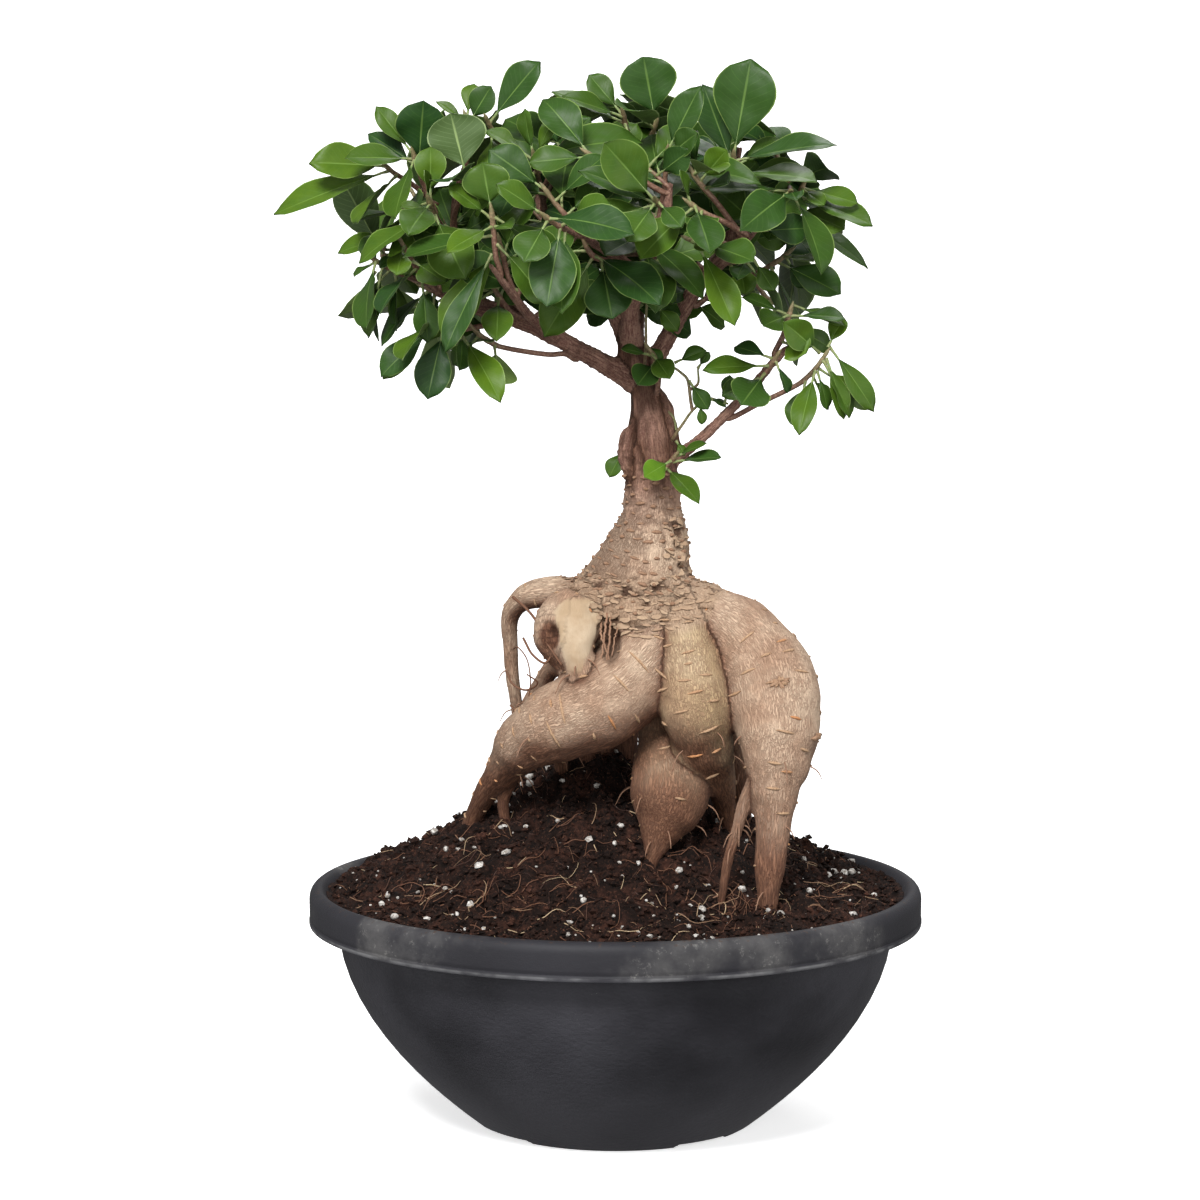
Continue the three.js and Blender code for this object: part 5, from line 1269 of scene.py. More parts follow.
def carve(wood, points, kinds, names, radius, along, out, gap):
    """Gives the skin its wrinkles, crust, scars and hollows, and marks where its colours go."""
    normals = normals_of(wood)
    x, y, z = points.T
    stout = ease(3, 12, radius)
    branch = kinds == 2
    root = kinds == 0
    high = np.where(root, 0, ease(332, 388, z + 8 * soft_noise(points, 14, seed=4)))
    push = layered_noise(points, 26, seed=5) * 1.1 * stout
    push += layered_noise(points, 10, seed=9, layers=2) * 0.32 * stout
    streak = np.column_stack([out * 15, along * 0.14])
    knobby = np.isin(names, ("knob", "knob_face"))
    grain = soft_noise(streak[:, :3] + streak[:, 3:] * (1, 0.6, 0.3), 2.6, seed=33) * 0.16 * (0.4 + stout)
    push += grain * ~knobby

    crust = ease(284, 291, z + 3 * soft_noise(points, 12, seed=6)) * fade(306, 322, z)
    crust = crust * (np.hypot(x - 15, y) < 50) * fade(44, 56, np.abs(x - 14))
    crust = crust * np.where(names == "left_loop", 0.2, 1)
    layers = soft_noise(points * (0.55, 0.55, 1.9), 5.5, seed=12)
    pits = soft_noise(points * (0.8, 0.8, 1.6), 4.5, seed=19)
    crack = ease(0.34, 0.55, pits) * crust
    push += crust * (1.5 * layers + 0.5) - 2.0 * crack

    rough = (1 - root) * (1 - branch) * ease(322, 340, z)
    beads = 0.95 * fade(0.15, 0.6, cell_distance(points * (1, 1, 1.5), 4.4, seed=70)) - 0.4
    cracks = 1.3 * soft_noise(points * (1.7, 1.7, 0.35), 6, seed=71) - 0.2
    push += rough * np.where(z < 386 + 3 * soft_noise(points, 8, seed=73), beads, cracks)
    torn = fade(0.5, 1, norm((points - TORN_PLACE) / (11, 13, 19), axis=1))
    holes = ease(0.12, 0.4, soft_noise(points * (1, 1, 0.7), 4.4, seed=83)) * torn
    push += torn * (1.6 * soft_noise(points * (1, 1, 0.7), 3.4, seed=81) + 1) - 2.6 * holes

    scars = np.where(branch, np.sin(tau * (along + 3 * soft_noise(points, 9)) / 8.5) ** 14, 0)
    push += scars * 0.3 * np.clip(radius / 3, 0.5, 1.4)
    push += np.where(branch, soft_noise(points, 3.4, seed=72) * 0.22, 0)

    for middle, size, height in SWELLINGS:
        away = norm(points - middle, axis=1) / size
        push += height * fade(0.15, 1, away)

    front = ease(0.15, 0.5, -normals[:, 1])
    knot = np.zeros(len(points))
    for cx, cz, size in ROOT_KNOTS:
        away = np.hypot(x - cx, (z - cz) * 1.25) / size
        knot = np.maximum(knot, fade(0.55, 1.15, away) * front * root)
        ring = 0.9 * np.exp(-(((away - 0.75) / 0.22) ** 2)) - 0.9 * fade(0, 0.4, away)
        push += ring * front * root

    levels, middles, halves = np.array(KNOB_FACE).T
    away = np.abs(x - np.interp(z, levels, middles)) / np.interp(z, levels, halves)
    face = fade(0.86, 1.02, away + 0.08 * soft_noise(points, 4, seed=28)) * ease(-12, -20, y)
    face = face * ease(263, 267, z) * fade(303, 306, z)
    hole = fade(4.6, 7, norm((points - KNOB_HOLLOW) * (1, 0.4, 0.62), axis=1))
    hole = hole * (1 - face)
    core = fade(1.5, 4.4, norm((points - KNOB_HOLLOW - (2.5, 0, 3)) * (1, 0.4, 0.8), axis=1))
    cavity = fade(0.5, 1.1, np.hypot((x + 2.5) / 6, (z - 280) / 13)) * ~knobby * ease(0, -15, y)
    cavity = cavity * (1 - face)
    push -= cavity * 3
    push += hole * -1.6 + core * (1 - face) * -3.4 + face * (soft_noise(points, 6, seed=27) * 0.6 + 0.4)
    split = fade(0, 1.6, np.abs(x + 27 - (z - 270) * 0.2))
    push -= split * face * ease(262, 268, z) * fade(276, 284, z) * 0.8

    move_points(wood, points + normals * push[:, None])
    above = z - soil_height(x, y)
    # darker towards the soil: strongly within about 24 mm of it and gently up to about 100 mm above it
    near_soil_darkening = fade(2, 24, above + 7 * soft_noise(points, 9, seed=61))
    near_soil_darkening = np.maximum(near_soil_darkening, 0.95 * fade(22, 100, above + 12 * soft_noise(points, 15, seed=63)))
    foot = fade(4, 40, above + 8 * soft_noise(points, 12, seed=64)) * root
    # painted shade in the creases where limbs meet, on the roots apart from the knob and on the trunk from
    # about 360 mm up
    crease_shade = np.maximum(root * ~knobby, (kinds == 1) * ease(358, 368, z))
    crease_shade = crease_shade * np.exp(-gap / 3.2) * (1 - crust)
    thin_root = root * fade(4.5, 9, radius) * (names != "left_loop")
    # painted shade: the roots towards the back are darkened, the left loop less
    back_root_shade = root * ease(10, 32, y) * np.where(names == "left_loop", 0.25, 0.8)
    green = (names == "front_middle") * (0.7 + 0.3 * soft_noise(points, 30, seed=8))
    bulb = names == "middle_bulb"
    # the bulb: olive tinted, and darkened as painted shade, most towards its tip
    green = np.maximum(green, bulb * (0.35 + 0.55 * fade(166, 190, z)))
    rust = bulb * np.exp(-(((x - 31) / 4) ** 2 + ((z - 171) / 5) ** 2))
    # painted shade where the trunk and branches were pushed in
    groove_shade = ease(0.05, 0.5, -push) * (1 - root) * 0.5
    # painted shade in the knob's cavity and hollow and in the torn bark's holes
    deep = cavity * 0.75 + holes * 0.9 + hole * 0.35
    # painted shade: the roots' downward faces are darkened towards the earth colour
    under = root * ease(0, 0.68, -normals[:, 2] + 0.2 * soft_noise(points, 16, seed=66)) * 0.92
    # what turns the skin towards the earth colour: nearness to the soil, thin roots, and painted shade on
    # undersides, roots at the back, creases, the knob's hollow and the bulb
    stains_and_shade = [near_soil_darkening, thin_root * 0.6, back_root_shade * 0.75, hole, under, crease_shade, bulb * 0.6]
    # painted shade in the crust's cracks, the knob hollow's core, the cut knots, grooves, creases and
    # cavities; the roots also darken within about 40 mm of the soil
    hollow = crack * 0.6 + core * 0.9 + 0.25 * knot + groove_shade + crease_shade * 0.5 + deep + foot * 0.45
    wood_marks = {
        "aged": np.where(branch, 1, high),
        "corky": np.maximum(crust, torn * 0.8),
        "hollow": np.clip(hollow, 0, 1),
        "cream": np.clip(face * (1 - hole), 0, 1),
        "olive": np.clip(green, 0, 1) * (1 - crust),
        "rust": rust,
        "soiled": np.clip(np.maximum.reduce(stains_and_shade), 0, 1),
        "run": along,
    }
    for name, values in wood_marks.items():
        mark(wood, name, values)
    attribute = wood.data.attributes.new("round", "FLOAT_VECTOR", "POINT")
    around = out * np.clip(radius, 4, 60)[:, None]
    attribute.data.foreach_set("vector", around.astype(np.float32).ravel())


def cork_knot(skin, tree, x, z, size, draw):
    """A torn star of cork where a root was cut: short crooked ridges round a hollow."""
    for i in range(13):
        turn = tau * i / 13 + draw.uniform(-0.2, 0.2)
        inner = size * draw.uniform(0.1, 0.4)
        outer = size * draw.uniform(0.65, 1.1) * (1.5 if i in (6, 7) else 1)
        rows = []
        for k in range(6):
            away = inner + (outer - inner) * k / 5
            spin = turn + 0.3 * k / 5
            across = x + cos(spin) * away
            hit, out = skin_seen(tree, across, z + sin(spin) * away * 0.7)
            if hit is not None:
                thick = (1.5, 1.45, 1.2, 0.95, 0.7, 0.3)[k] * draw.uniform(0.8, 1.1)
                rows.append((*(hit + out * 0.4 * thick), thick))
        if len(rows) > 3:
            skin.tube(np.array(rows), 6, tone=draw.random() * 0.5, dark=draw.uniform(0.3, 1))


def cork_line(skin, tree, middle, heading, half, thick, draw, dark=0.0):
    """A thin raised line that runs across a limb, over its skin."""
    normal = skin_near(tree, middle)[1]
    across = np.cross(normal, heading)
    size = norm(across)
    if size < 0.2:
        return
    across = across / size + heading * draw.uniform(-0.14, 0.14)
    count = max(4, int(half * 2 / 0.9))
    tone = 0.3 if half > 8 else draw.random()
    rows = []
    for i in range(count + 1):
        s = -1 + 2 * i / count
        hit, out = skin_near(tree, middle + across * half * s + normal * 0.4)
        swell = max(1 - abs(s) ** 2.6, 0.12) * draw.uniform(0.8, 1.15)
        rows.append((*(hit + out * thick * 0.25), thick * swell))
    skin.tube(np.array(rows), 6, tone=tone, dark=dark)


def lay_cork(tree, points, normals, heading, kinds, radius, draw):
    """Raised cork lines across the roots, and shorter ones scattered over the trunk and the far sides."""
    skin = Skin()
    for x, z, half in CORK_LINES:
        hit = skin_seen(tree, x, z)[0]
        if hit is None:
            continue
        nearest = int(np.argmin(norm(points - hit, axis=1)))
        cork_line(skin, tree, hit, heading[nearest], half * draw.uniform(0.85, 1.1), 0.85, draw)
    for x, z, size in ROOT_KNOTS[:2]:
        cork_knot(skin, tree, x, z, size * 0.8, draw)

    def spacing(i):
        x, y, z = points[i]
        if kinds[i] == 1 and 296 < z < 372:
            return 6
        root = kinds[i] == 0 and z > soil_height(x, y) + 8 and radius[i] > 5
        seen = normals[i][1] < -0.25 and x > -45
        return 12 if root and not seen else None

    for i in spread_out(points, draw, LOOSE_CORK_LINES, spacing):
        trunk = kinds[i] == 1
        half = draw.uniform(1.2, 3.4) if trunk else draw.uniform(1, 3.8)
        thick = draw.uniform(0.7, 1.25) if trunk else draw.uniform(0.45, 0.8)
        cork_line(skin, tree, points[i], heading[i], half, thick, draw, 1.0 if trunk else 0.0)
    piece = skin.piece("cork_lines")
    bpy.ops.object.shade_smooth()
    finish_piece(piece, "bark", [cork()])


def lay_flake(skin, tree, middle, wide, tall, draw, raised_by=1.0):
    normal = skin_near(tree, middle)[1]
    side = np.cross((0, 0, 1), normal)
    side = side / max(norm(side), 1e-6)
    down = np.cross(side, normal)
    if down[2] > 0:
        down = -down
    side = side + down * draw.uniform(-0.35, 0.35)
    lift = draw.uniform(0.5, 1.1) * raised_by
    columns = 5
    rows = 4
    top = []
    low = []
    for r in range(rows):
        fall = r / (rows - 1)
        for c in range(columns):
            s = -1 + 2 * c / (columns - 1)
            reach = side * s * wide * (0.75 + 0.25 * fall) + down * tall * (fall * (1 - 0.4 * s * s))
            hit, out = skin_near(tree, middle + reach)
            raised = lift * fall**1.4 * (1 - 0.6 * s * s) + 0.12 + draw.uniform(-0.1, 0.1)
            top.append(hit + out * raised)
            low.append(hit + out * (raised - 0.5 - 0.3 * (1 - fall)))
    faces = []
    count = rows * columns
    for r in range(rows - 1):
        for c in range(columns - 1):
            a = r * columns + c
            faces.append((a, a + columns, a + columns + 1, a + 1))
            faces.append((count + a, count + a + 1, count + a + columns + 1, count + a + columns))
    edge = list(range(columns))
    edge += [r * columns + columns - 1 for r in range(1, rows)]
    edge += [(rows - 1) * columns + c for c in range(columns - 2, -1, -1)]
    edge += [r * columns for r in range(rows - 2, 0, -1)]
    for a, b in zip(edge, edge[1:] + edge[:1]):
        faces.append((a, b, count + b, count + a))
    skin.add(top + low, faces, tone=draw.random(), under=[0.0] * count + [1.0] * count)


def lay_flakes(tree, points, normals, draw):
    """Small lifted scales of bark in the folds at the foot of the trunk, and torn ones at its right."""
    skin = Skin()

    def spacing(i):
        x, y, z = points[i]
        if not 287 < z + 4 * sin(x / 9) < 316 or normals[i][2] < -0.3:
            return None
        return None if hypot(x - 15, y) > 47 or abs(x - 14) > 44 else 3.1

    for i in spread_out(points, draw, SMALL_FLAKES, spacing):
        low = points[i][2] + 4 * sin(points[i][0] / 9) < 302
        wide = draw.uniform(1.3, 3.4) * (1.25 if low else 0.8)
        lay_flake(skin, tree, points[i], wide, wide * draw.uniform(0.5, 0.8), draw)
    for _ in range(TORN_FLAKES):
        spot = np.array((draw.gauss(34, 3), draw.gauss(-13, 5), draw.gauss(329, 8)))
        wide = draw.uniform(1.5, 3.6)
        lay_flake(skin, tree, spot, wide, draw.uniform(1.5, 3.4), draw, draw.uniform(1, 2.4))
    piece = skin.piece("bark_flakes")
    take_up(piece)
    bpy.ops.object.shade_smooth_by_angle(angle=radians(60))
    finish_piece(piece, "bark", [flake_skin()])


class FICUS_OT_wood(bpy.types.Operator):
    """Grows the trunk, the roots and the branches as one skin, and lays cork and flakes of bark on it"""

    bl_idname = "ficus.wood"
    bl_label = "Trunk, Roots and Branches"

    def execute(self, context):
        settings = context.scene.ficus_wood
        runs = limb_runs()
        skin = Skin()
        for name, kind, rows in runs:
            skin.tube(np.vstack([rows[::3], rows[-1:]]), 20)
        wood = skin.piece("wood")
        apply_modifier(wood, "REMESH", mode="VOXEL", voxel_size=settings.voxel * MM, use_smooth_shade=True)
        if len(wood.data.vertices) < 20000:
            self.report({"ERROR"}, "The wood's remesh failed")
            return {"CANCELLED"}
        points = points_of(wood)
        for _ in range(2):
            field, limb, step, radius, gap = wood_field(points, runs)
            points -= normals_of(wood) * field[:, None] * 0.95
            move_points(wood, points)
        points = calm(wood, points, radius)
        along, heading, out = limb_frame(points, runs, limb, step)
        kinds = np.array([("root", "trunk", "branch").index(kind) for name, kind, rows in runs])[limb]
        names = np.array([name for name, kind, rows in runs])[limb]
        carve(wood, points, kinds, names, radius, along, out, gap)
        points = points_of(wood)
        normals = normals_of(wood)
        take_up(wood)
        bpy.ops.object.shade_smooth()
        finish_piece(wood, "bark", [bark(settings)], "trunk_and_roots")
        faces = [tuple(f.vertices) for f in wood.data.polygons]
        tree = BVHTree.FromPolygons([tuple(p) for p in points], faces)
        draw = random.Random(23)
        lay_cork(tree, points, normals, heading, kinds, radius, draw)
        lay_flakes(tree, points, normals, draw)
        return {"FINISHED"}


class FICUS_OT_rootlets(bpy.types.Operator):
    """Adds the fine dark rootlets that hang by the knob and feel their way into the soil"""

    bl_idname = "ficus.rootlets"
    bl_label = "Rootlets"

    def execute(self, context):
        settings = context.scene.ficus_wood
        draw = random.Random(5)
        skin = Skin()
        for path in ROOTLETS:
            skin.tube(smooth_run(path, 1.2), 7, soiled=0.9, hollow=0.55)
        for path in STRANDS:
            rows = smooth_run(path, 1.2)
            rows[:, :2] += np.array([(draw.uniform(-0.4, 0.4), 0) for _ in rows])
            rows[:, 3] *= draw.uniform(0.5, 0.75)
            skin.tube(rows, 7, corky=0.8, soiled=0.6)
        for rows in [rows for name, kind, rows in limb_runs() if kind == "root"]:
            for _ in range(9):
                at = rows[draw.randrange(len(rows) // 3, len(rows))]
                if at[2] < soil_height(at[:1], at[1:2])[0] - 6:
                    continue
                turn = draw.uniform(0, tau)
                reach = draw.uniform(3, 9)
                out = at[:3] + np.array([cos(turn), sin(turn), -0.3]) * (at[3] + reach * 0.5)
                end = out + np.array([cos(turn), sin(turn), -1.6]) * reach * 0.7
                path = [(*at[:3], 0.55), (*out, 0.4), (*end, 0.2)]
                skin.tube(smooth_run(path, 1.5), 5, soiled=0.75, hollow=0.2)
        piece = skin.piece("rootlets")
        bpy.ops.object.shade_smooth()
        finish_piece(piece, "bark", [bark(settings)])
        return {"FINISHED"}


# Pale strands in the cavity right of the knob, as runs of (x, y, z, radius)
STRANDS = [
    [(-5, -36, 296, 1.2), (-6, -44, 288, 1.3), (-7, -46, 278, 1.1), (-9, -47, 268, 0.8)],
    [(-3, -36, 294, 0.9), (-3.5, -43, 285, 1.1), (-4, -45, 275, 1.0), (-3, -46, 267, 0.7)],
    [(-8, -38, 292, 0.8), (-8, -46, 284, 0.9), (-5, -46, 276, 0.8), (-6, -47, 266, 0.6)],
    [(1, -36, 288, 0.7), (-1, -43, 281, 0.8), (-2, -45, 273, 0.7)],
]
# Dark wiry rootlets by the knob, as runs of (x, y, z, radius)
ROOTLETS = [
    [(-58, -6, 302, 0.9), (-50, -22, 297, 0.8), (-44, -36, 291, 0.8), (-38, -44, 280, 0.8),
     (-30, -46, 268, 0.6)],
    [(-52, -18, 280, 0.7), (-46, -34, 272, 0.7), (-39, -42, 269, 0.7), (-36, -42, 274, 0.6),
     (-41, -40, 278, 0.5)],
    [(-62, 6, 258, 0.7), (-58, -6, 252, 0.6), (-50, -14, 250, 0.6), (-44, -20, 255, 0.5),
     (-50, -22, 260, 0.4)],
    [(-60, 10, 238, 0.7), (-56, 0, 236, 0.6), (-50, -8, 238, 0.5), (-52, -12, 243, 0.4)],
    [(-58, -2, 272, 0.4), (-55, -12, 274, 0.4), (-50, -18, 268, 0.4), (-48, -20, 256, 0.4),
     (-50, -16, 240, 0.3)],
]


# The leafy shoots

def blade_outline(t, peak):
    """Half of a blade's width along it, as a share of its widest, as the solids have it."""
    return sin(pi * min(max(t, 0), 1) ** peak) ** 0.82 if 0 < t < 1 else 0.0


def full_outline(t, peak, blunt):
    """The same with the fuller tip of a living leaf, which ends in a short point."""
    if not 0 < t < 1:
        return 0.0
    lift = sin(pi * t**peak)
    if t**peak < 0.5:
        return lift**0.82
    return lift**blunt * (1 - 0.5 * max(t - 0.9, 0) / 0.1)


# How wide and thick a leafstalk is in the solids
STALK_WIDTH = 1.8
# Where a blade has points: its rows as shares of its length, its columns as shares of its half width
FINE_ROWS = (
    0.02, 0.06, 0.12, 0.2, 0.28, 0.37, 0.46, 0.55, 0.64, 0.72, 0.79, 0.85, 0.9, 0.94, 0.97, 0.988, 0.997,
)
FINE_ACROSS = (-1, -0.93, -0.7, -0.4, -0.1, 0, 0.1, 0.4, 0.7, 0.93, 1)
PLAIN_ROWS = (0.03, 0.1, 0.22, 0.36, 0.5, 0.64, 0.76, 0.86, 0.94, 0.985)
PLAIN_ACROSS = (-1, -0.9, -0.5, 0, 0.5, 0.9, 1)
# The bud at a twig's tip: how far beyond the tip, and its radius there
BUD = ((1.2, 1.3), (2.6, 1.2), (4.4, 0.75), (6, 0.15))
# The room that the leaves keep to, a little inside the box of the solids
ROOM = np.array([[c / MM + 0.4 for c in FRAME_BOX[0]], [c / MM - 0.4 for c in FRAME_BOX[1]]])


class Leaf:
    """One leaf's own frame and form, read back from its solid."""

    fullness = 1.04

    def __init__(self, root, stations, tip):
        self.base = np.mean(root, axis=0)
        start = np.mean(stations[-1], axis=0)
        self.petiole = norm(start - self.base)
        self.along = (start - self.base) / self.petiole
        first = stations[0]
        normal = first[1] - first[3]
        self.normal = normal / norm(normal)
        reach = tip - start
        if reach.dot(self.normal) > 0:
            self.normal = -self.normal
        self.side = np.cross(self.normal, self.along)
        self.length = reach.dot(self.along)
        self.sag = max(-reach.dot(self.normal) / self.length, 0.0)
        rings = []
        for ring in stations[:-1]:
            middle = (ring[1] + ring[3]) / 2
            half = norm(ring[0] - ring[2]) / 2
            t = (middle - start).dot(self.along) / self.length
            lift = ((ring[0] + ring[2]) / 2 - middle).dot(self.normal)
            rings.append((t, half, lift))
        rings.sort()
        low, high = rings[0], rings[-1]
        least, most = 0.8, 2.2
        for _ in range(40):
            self.peak = (least + most) / 2
            ratio = blade_outline(low[0], self.peak) / blade_outline(high[0], self.peak)
            if ratio > low[1] / high[1]:
                least = self.peak
            else:
                most = self.peak
        self.width = 2 * high[1] / blade_outline(high[0], self.peak)
        self.cup = high[2] * self.width / (2 * high[1] ** 2)
        self.blunt = float(np.interp(self.width / self.length, (0.4, 0.75), (0.82, 0.58)))

    @classmethod
    def grown(cls, base, along, face, length, width, draw):
        """A leaf that has no solid, from where it starts, where it points and where it faces."""
        leaf = cls.__new__(cls)
        leaf.base = np.array(base, dtype=float)
        leaf.along = along / norm(along)
        side = np.cross(face, leaf.along)
        leaf.side = side / max(norm(side), 1e-6)
        leaf.normal = np.cross(leaf.along, leaf.side)
        leaf.petiole = min(7, length * 0.2)
        leaf.length = length - leaf.petiole
        leaf.width = width
        leaf.sag = draw.uniform(0.08, 0.28)
        leaf.cup = draw.uniform(0.1, 0.3)
        leaf.peak = draw.uniform(1.1, 1.45)
        leaf.blunt = draw.uniform(0.62, 0.82)
        return leaf

    def point(self, t, across, lift=0.0):
        x = across * self.width * self.fullness * full_outline(t, self.peak, self.blunt) / 2
        height = -self.sag * self.length * t * t + self.cup * x * x * 2 / self.width + lift
        middle = self.base + self.along * (self.petiole + t * self.length)
        return np.clip(middle + self.side * x + self.normal * height, *ROOM)


def ring_of_tip(vert):
    """The four neighbours of a blade's tip as (edge, middle, edge, middle), or nothing if it is no tip."""
    if len(vert.link_edges) != 4 or len(vert.link_faces) != 4:
        return None
    around = [edge.other_vert(vert) for edge in vert.link_edges]
    first = around[0]
    beside = {v for face in first.link_faces if vert in face.verts for v in face.verts} - {vert, first}
    facing = [v for v in around if v is not first and v not in beside]
    if len(facing) != 1:
        return None
    pairs = [(first, facing[0]), tuple(v for v in around if v in beside)]
    if len(pairs[1]) != 2:
        return None
    pairs.sort(key=lambda pair: (pair[0].co - pair[1].co).length)
    middles, edges = pairs
    if not 1.2 * MM < (middles[0].co - middles[1].co).length < 1.6 * MM:
        return None
    if (edges[0].co - edges[1].co).length < 2.5 * MM:
        return None
    if (edges[0].co - vert.co).angle(edges[1].co - vert.co) > radians(140):
        return None
    return [edges[0], middles[0], edges[1], middles[1]]


def lower_ring(ring, above):
    """The next ring down a blade, matched corner to corner."""
    known = set(ring) | set(above)

    def left_over(vert, taken):
        return [other for other in (edge.other_vert(vert) for edge in vert.link_edges) if other not in taken]

    first = left_over(ring[0], known)
    third = left_over(ring[2], known)
    if len(first) != 1 or len(third) != 1:
        return None
    taken = known | {first[0], third[0]}
    second = left_over(ring[1], taken)
    fourth = left_over(ring[3], taken)
    if len(second) != 1 or len(fourth) != 1:
        return None
    return [first[0], second[0], third[0], fourth[0]]


def is_stalk(ring):
    """Whether a ring is as wide and as thick as the solids' leafstalks."""
    spreads = [(ring[i].co - ring[i + 2].co).length / MM for i in (0, 1)]
    return all(abs(spread - STALK_WIDTH) < 0.25 for spread in spreads)


def places(verts):
    """Where a mesh's corners are, in millimetres."""
    return [np.array(vert.co) / MM for vert in verts]


def read_shoot(node):
    """A shoot's leaves and its bare twig's rings, from its solid."""
    mesh = bmesh.new()
    mesh.from_mesh(node.data)
    bmesh.ops.remove_doubles(mesh, verts=mesh.verts, dist=5e-6)
    leaves = []
    used = set()
    for tip in mesh.verts:
        ring = ring_of_tip(tip)
        if ring is None:
            continue
        rings = [ring]
        above = [tip]
        while len(rings) < 6:
            below = lower_ring(rings[-1], above)
            if below is None:
                break
            above = rings[-1]
            rings.append(below)
            if is_stalk(below):
                break
        if not is_stalk(rings[-1]):
            continue
        taken = set(rings[-1]) | set(above)
        corners = {edge.other_vert(v) for v in rings[-1] for edge in v.link_edges} - taken
        if len(corners) < 3:
            continue
        leaves.append(Leaf(places(corners), [places(r) for r in rings], places([tip])[0]))
        used.update(v.index for r in rings for v in r)
        used.add(tip.index)
    bare = places(v for v in mesh.verts if v.index not in used)
    mesh.free()
    return leaves, bare


def twig_line(bare):
    """The twig's centreline from its cut end to its tip, from the corners of its rings."""
    groups = []
    for point in bare:
        near = [min(norm(point - other) for other in group) < 3.5 for group in groups]
        merged = [point] + [p for group, close in zip(groups, near) if close for p in group]
        groups = [group for group, close in zip(groups, near) if not close] + [merged]
    rings = [np.mean(g, axis=0) for g in groups if len(g) == 4]
    cut = [p for g in groups if len(g) != 4 for p in g]
    return rings, np.mean(cut, axis=0) if cut else None


def chain(rings, start):
    """The middles of a twig's rings in order, each the nearest to the one before."""
    line = []
    left = list(rings)
    at = start
    while left:
        nearest = min(range(len(left)), key=lambda i: norm(left[i] - at))
        at = left.pop(nearest)
        line.append(at)
    return line


def sprout_leaf(skin, leaf, settings, draw, tone, young, spot, rows=FINE_ROWS, across=FINE_ACROSS):
    """A blade folded along its rounded midrib, with a thin waving edge."""
    phase = draw.uniform(0, tau)
    waves = draw.uniform(1.4, 2.4)
    wave = settings.wave * draw.uniform(0.4, 1.0) * min(leaf.width / 25, 1)
    curl = draw.uniform(-0.03, 0.1) * leaf.length
    fold = draw.uniform(0.04, 0.2) * leaf.width / 2
    points = []
    uv = []
    wide = len(across)

    def lift(t, a, under):
        height = wave * a * abs(a) * sin(tau * waves * t + phase + (2.1 if a > 0 else 0))
        height -= curl * max(t - 0.7, 0) ** 2 * 4
        height += fold * (abs(a) - 0.3) * sin(pi * t)
        rib = exp(-((a / 0.07) ** 2)) * (1 - 0.7 * t)
        body = 0.28 * (1 - a * a * 0.7)
        if under:
            return height - body - rib * 0.65
        return height + body - rib * 0.32

    for t in rows:
        for a in across:
            points.append(leaf.point(t, a, lift(t, a, False)))
            uv.append((0.5 + a / 2, t))
    for t in rows:
        for a in across[1:-1]:
            points.append(leaf.point(t, a, lift(t, a, True)))
            uv.append((0.5 + a / 2, t))
    base = len(points)
    points.append(leaf.point(0, 0))
    uv.append((0.5, 0))
    points.append(leaf.point(1, 0, lift(1, 0, False) - 0.1))
    uv.append((0.5, 1))
    below = len(rows) * wide

    def top(r, i):
        return r * wide + i

    def under(r, i):
        return top(r, i) if i in (0, wide - 1) else below + r * (wide - 2) + i - 1

    upper = []
    lower = []
    for r in range(len(rows) - 1):
        for i in range(wide - 1):
            upper.append((top(r, i), top(r, i + 1), top(r + 1, i + 1), top(r + 1, i)))
            lower.append((under(r, i), under(r + 1, i), under(r + 1, i + 1), under(r, i + 1)))
    for i in range(wide - 1):
        upper.append((base, top(0, i + 1), top(0, i)))
        lower.append((base, under(0, i), under(0, i + 1)))
        upper.append((top(len(rows) - 1, i), top(len(rows) - 1, i + 1), base + 1))
        lower.append((under(len(rows) - 1, i + 1), under(len(rows) - 1, i), base + 1))
    spots = [0.0] * len(points)
    if spot is not None:
        spots = [float(fade(2.2, 3.6, norm(p - spot))) for p in points]
    kinds = [0] * len(upper) + [1] * len(lower)
    skin.add(points, upper + lower, kinds, tone=tone, young=young, spot=spots)
    skin.uv.extend(uv)


def stalk_of(skin, leaf, start, young):
    """A leaf's stalk, from inside the twig to under the blade."""
    path = [
        (*start, 1.25), (*leaf.base, 1.15), (*(leaf.base + leaf.along * leaf.petiole * 0.5), 0.8),
        (*leaf.point(0, 0, -0.15), 0.75), (*leaf.point(0.07, 0, -0.45), 0.55),
        (*leaf.point(0.2, 0, -0.5), 0.32),
    ]
    rows = smooth_run(path, 1.6)
    skin.tube(rows, 7, aged=np.linspace(0.45, -0.2, len(rows)), young=young)


def nearest_of(spots, point):
    return min(norm(np.array(spot) - point) for spot in spots)


def grow_twig(skin, leaves, bare, stems):
    """The twig as one tapering tube from inside its branch to a pointed bud."""
    rings, cut = twig_line(bare)
    if cut is None:
        cut = rings[0]
    line = chain(rings, cut)
    away = norm(stems[:, :3] - cut, axis=1) - stems[:, 3]
    root = stems[away.argmin(), :3]
    joined = [root, cut] + line
    thick = np.interp(np.arange(len(joined)), [0, 1, len(joined) - 1], [1.9, 1.65, 1.1])
    rows = smooth_run([(*p, r) for p, r in zip(joined, thick)], 1.6)
    for leaf in leaves:
        near = norm(rows[:, :3] - leaf.base, axis=1)
        rows[:, 3] += 0.35 * np.exp(-((near / 2.2) ** 2))
    heading = rows[-1, :3] - rows[-3, :3]
    heading = heading / norm(heading)
    bud = [(*(rows[-1, :3] + heading * step), radius) for step, radius in BUD]
    rows = np.vstack([rows, bud])
    share = np.linspace(0, 1, len(rows))
    skin.tube(rows, 8, aged=np.clip(1.5 - share * 0.9, 0, 1), tone=0.5)
    return rows


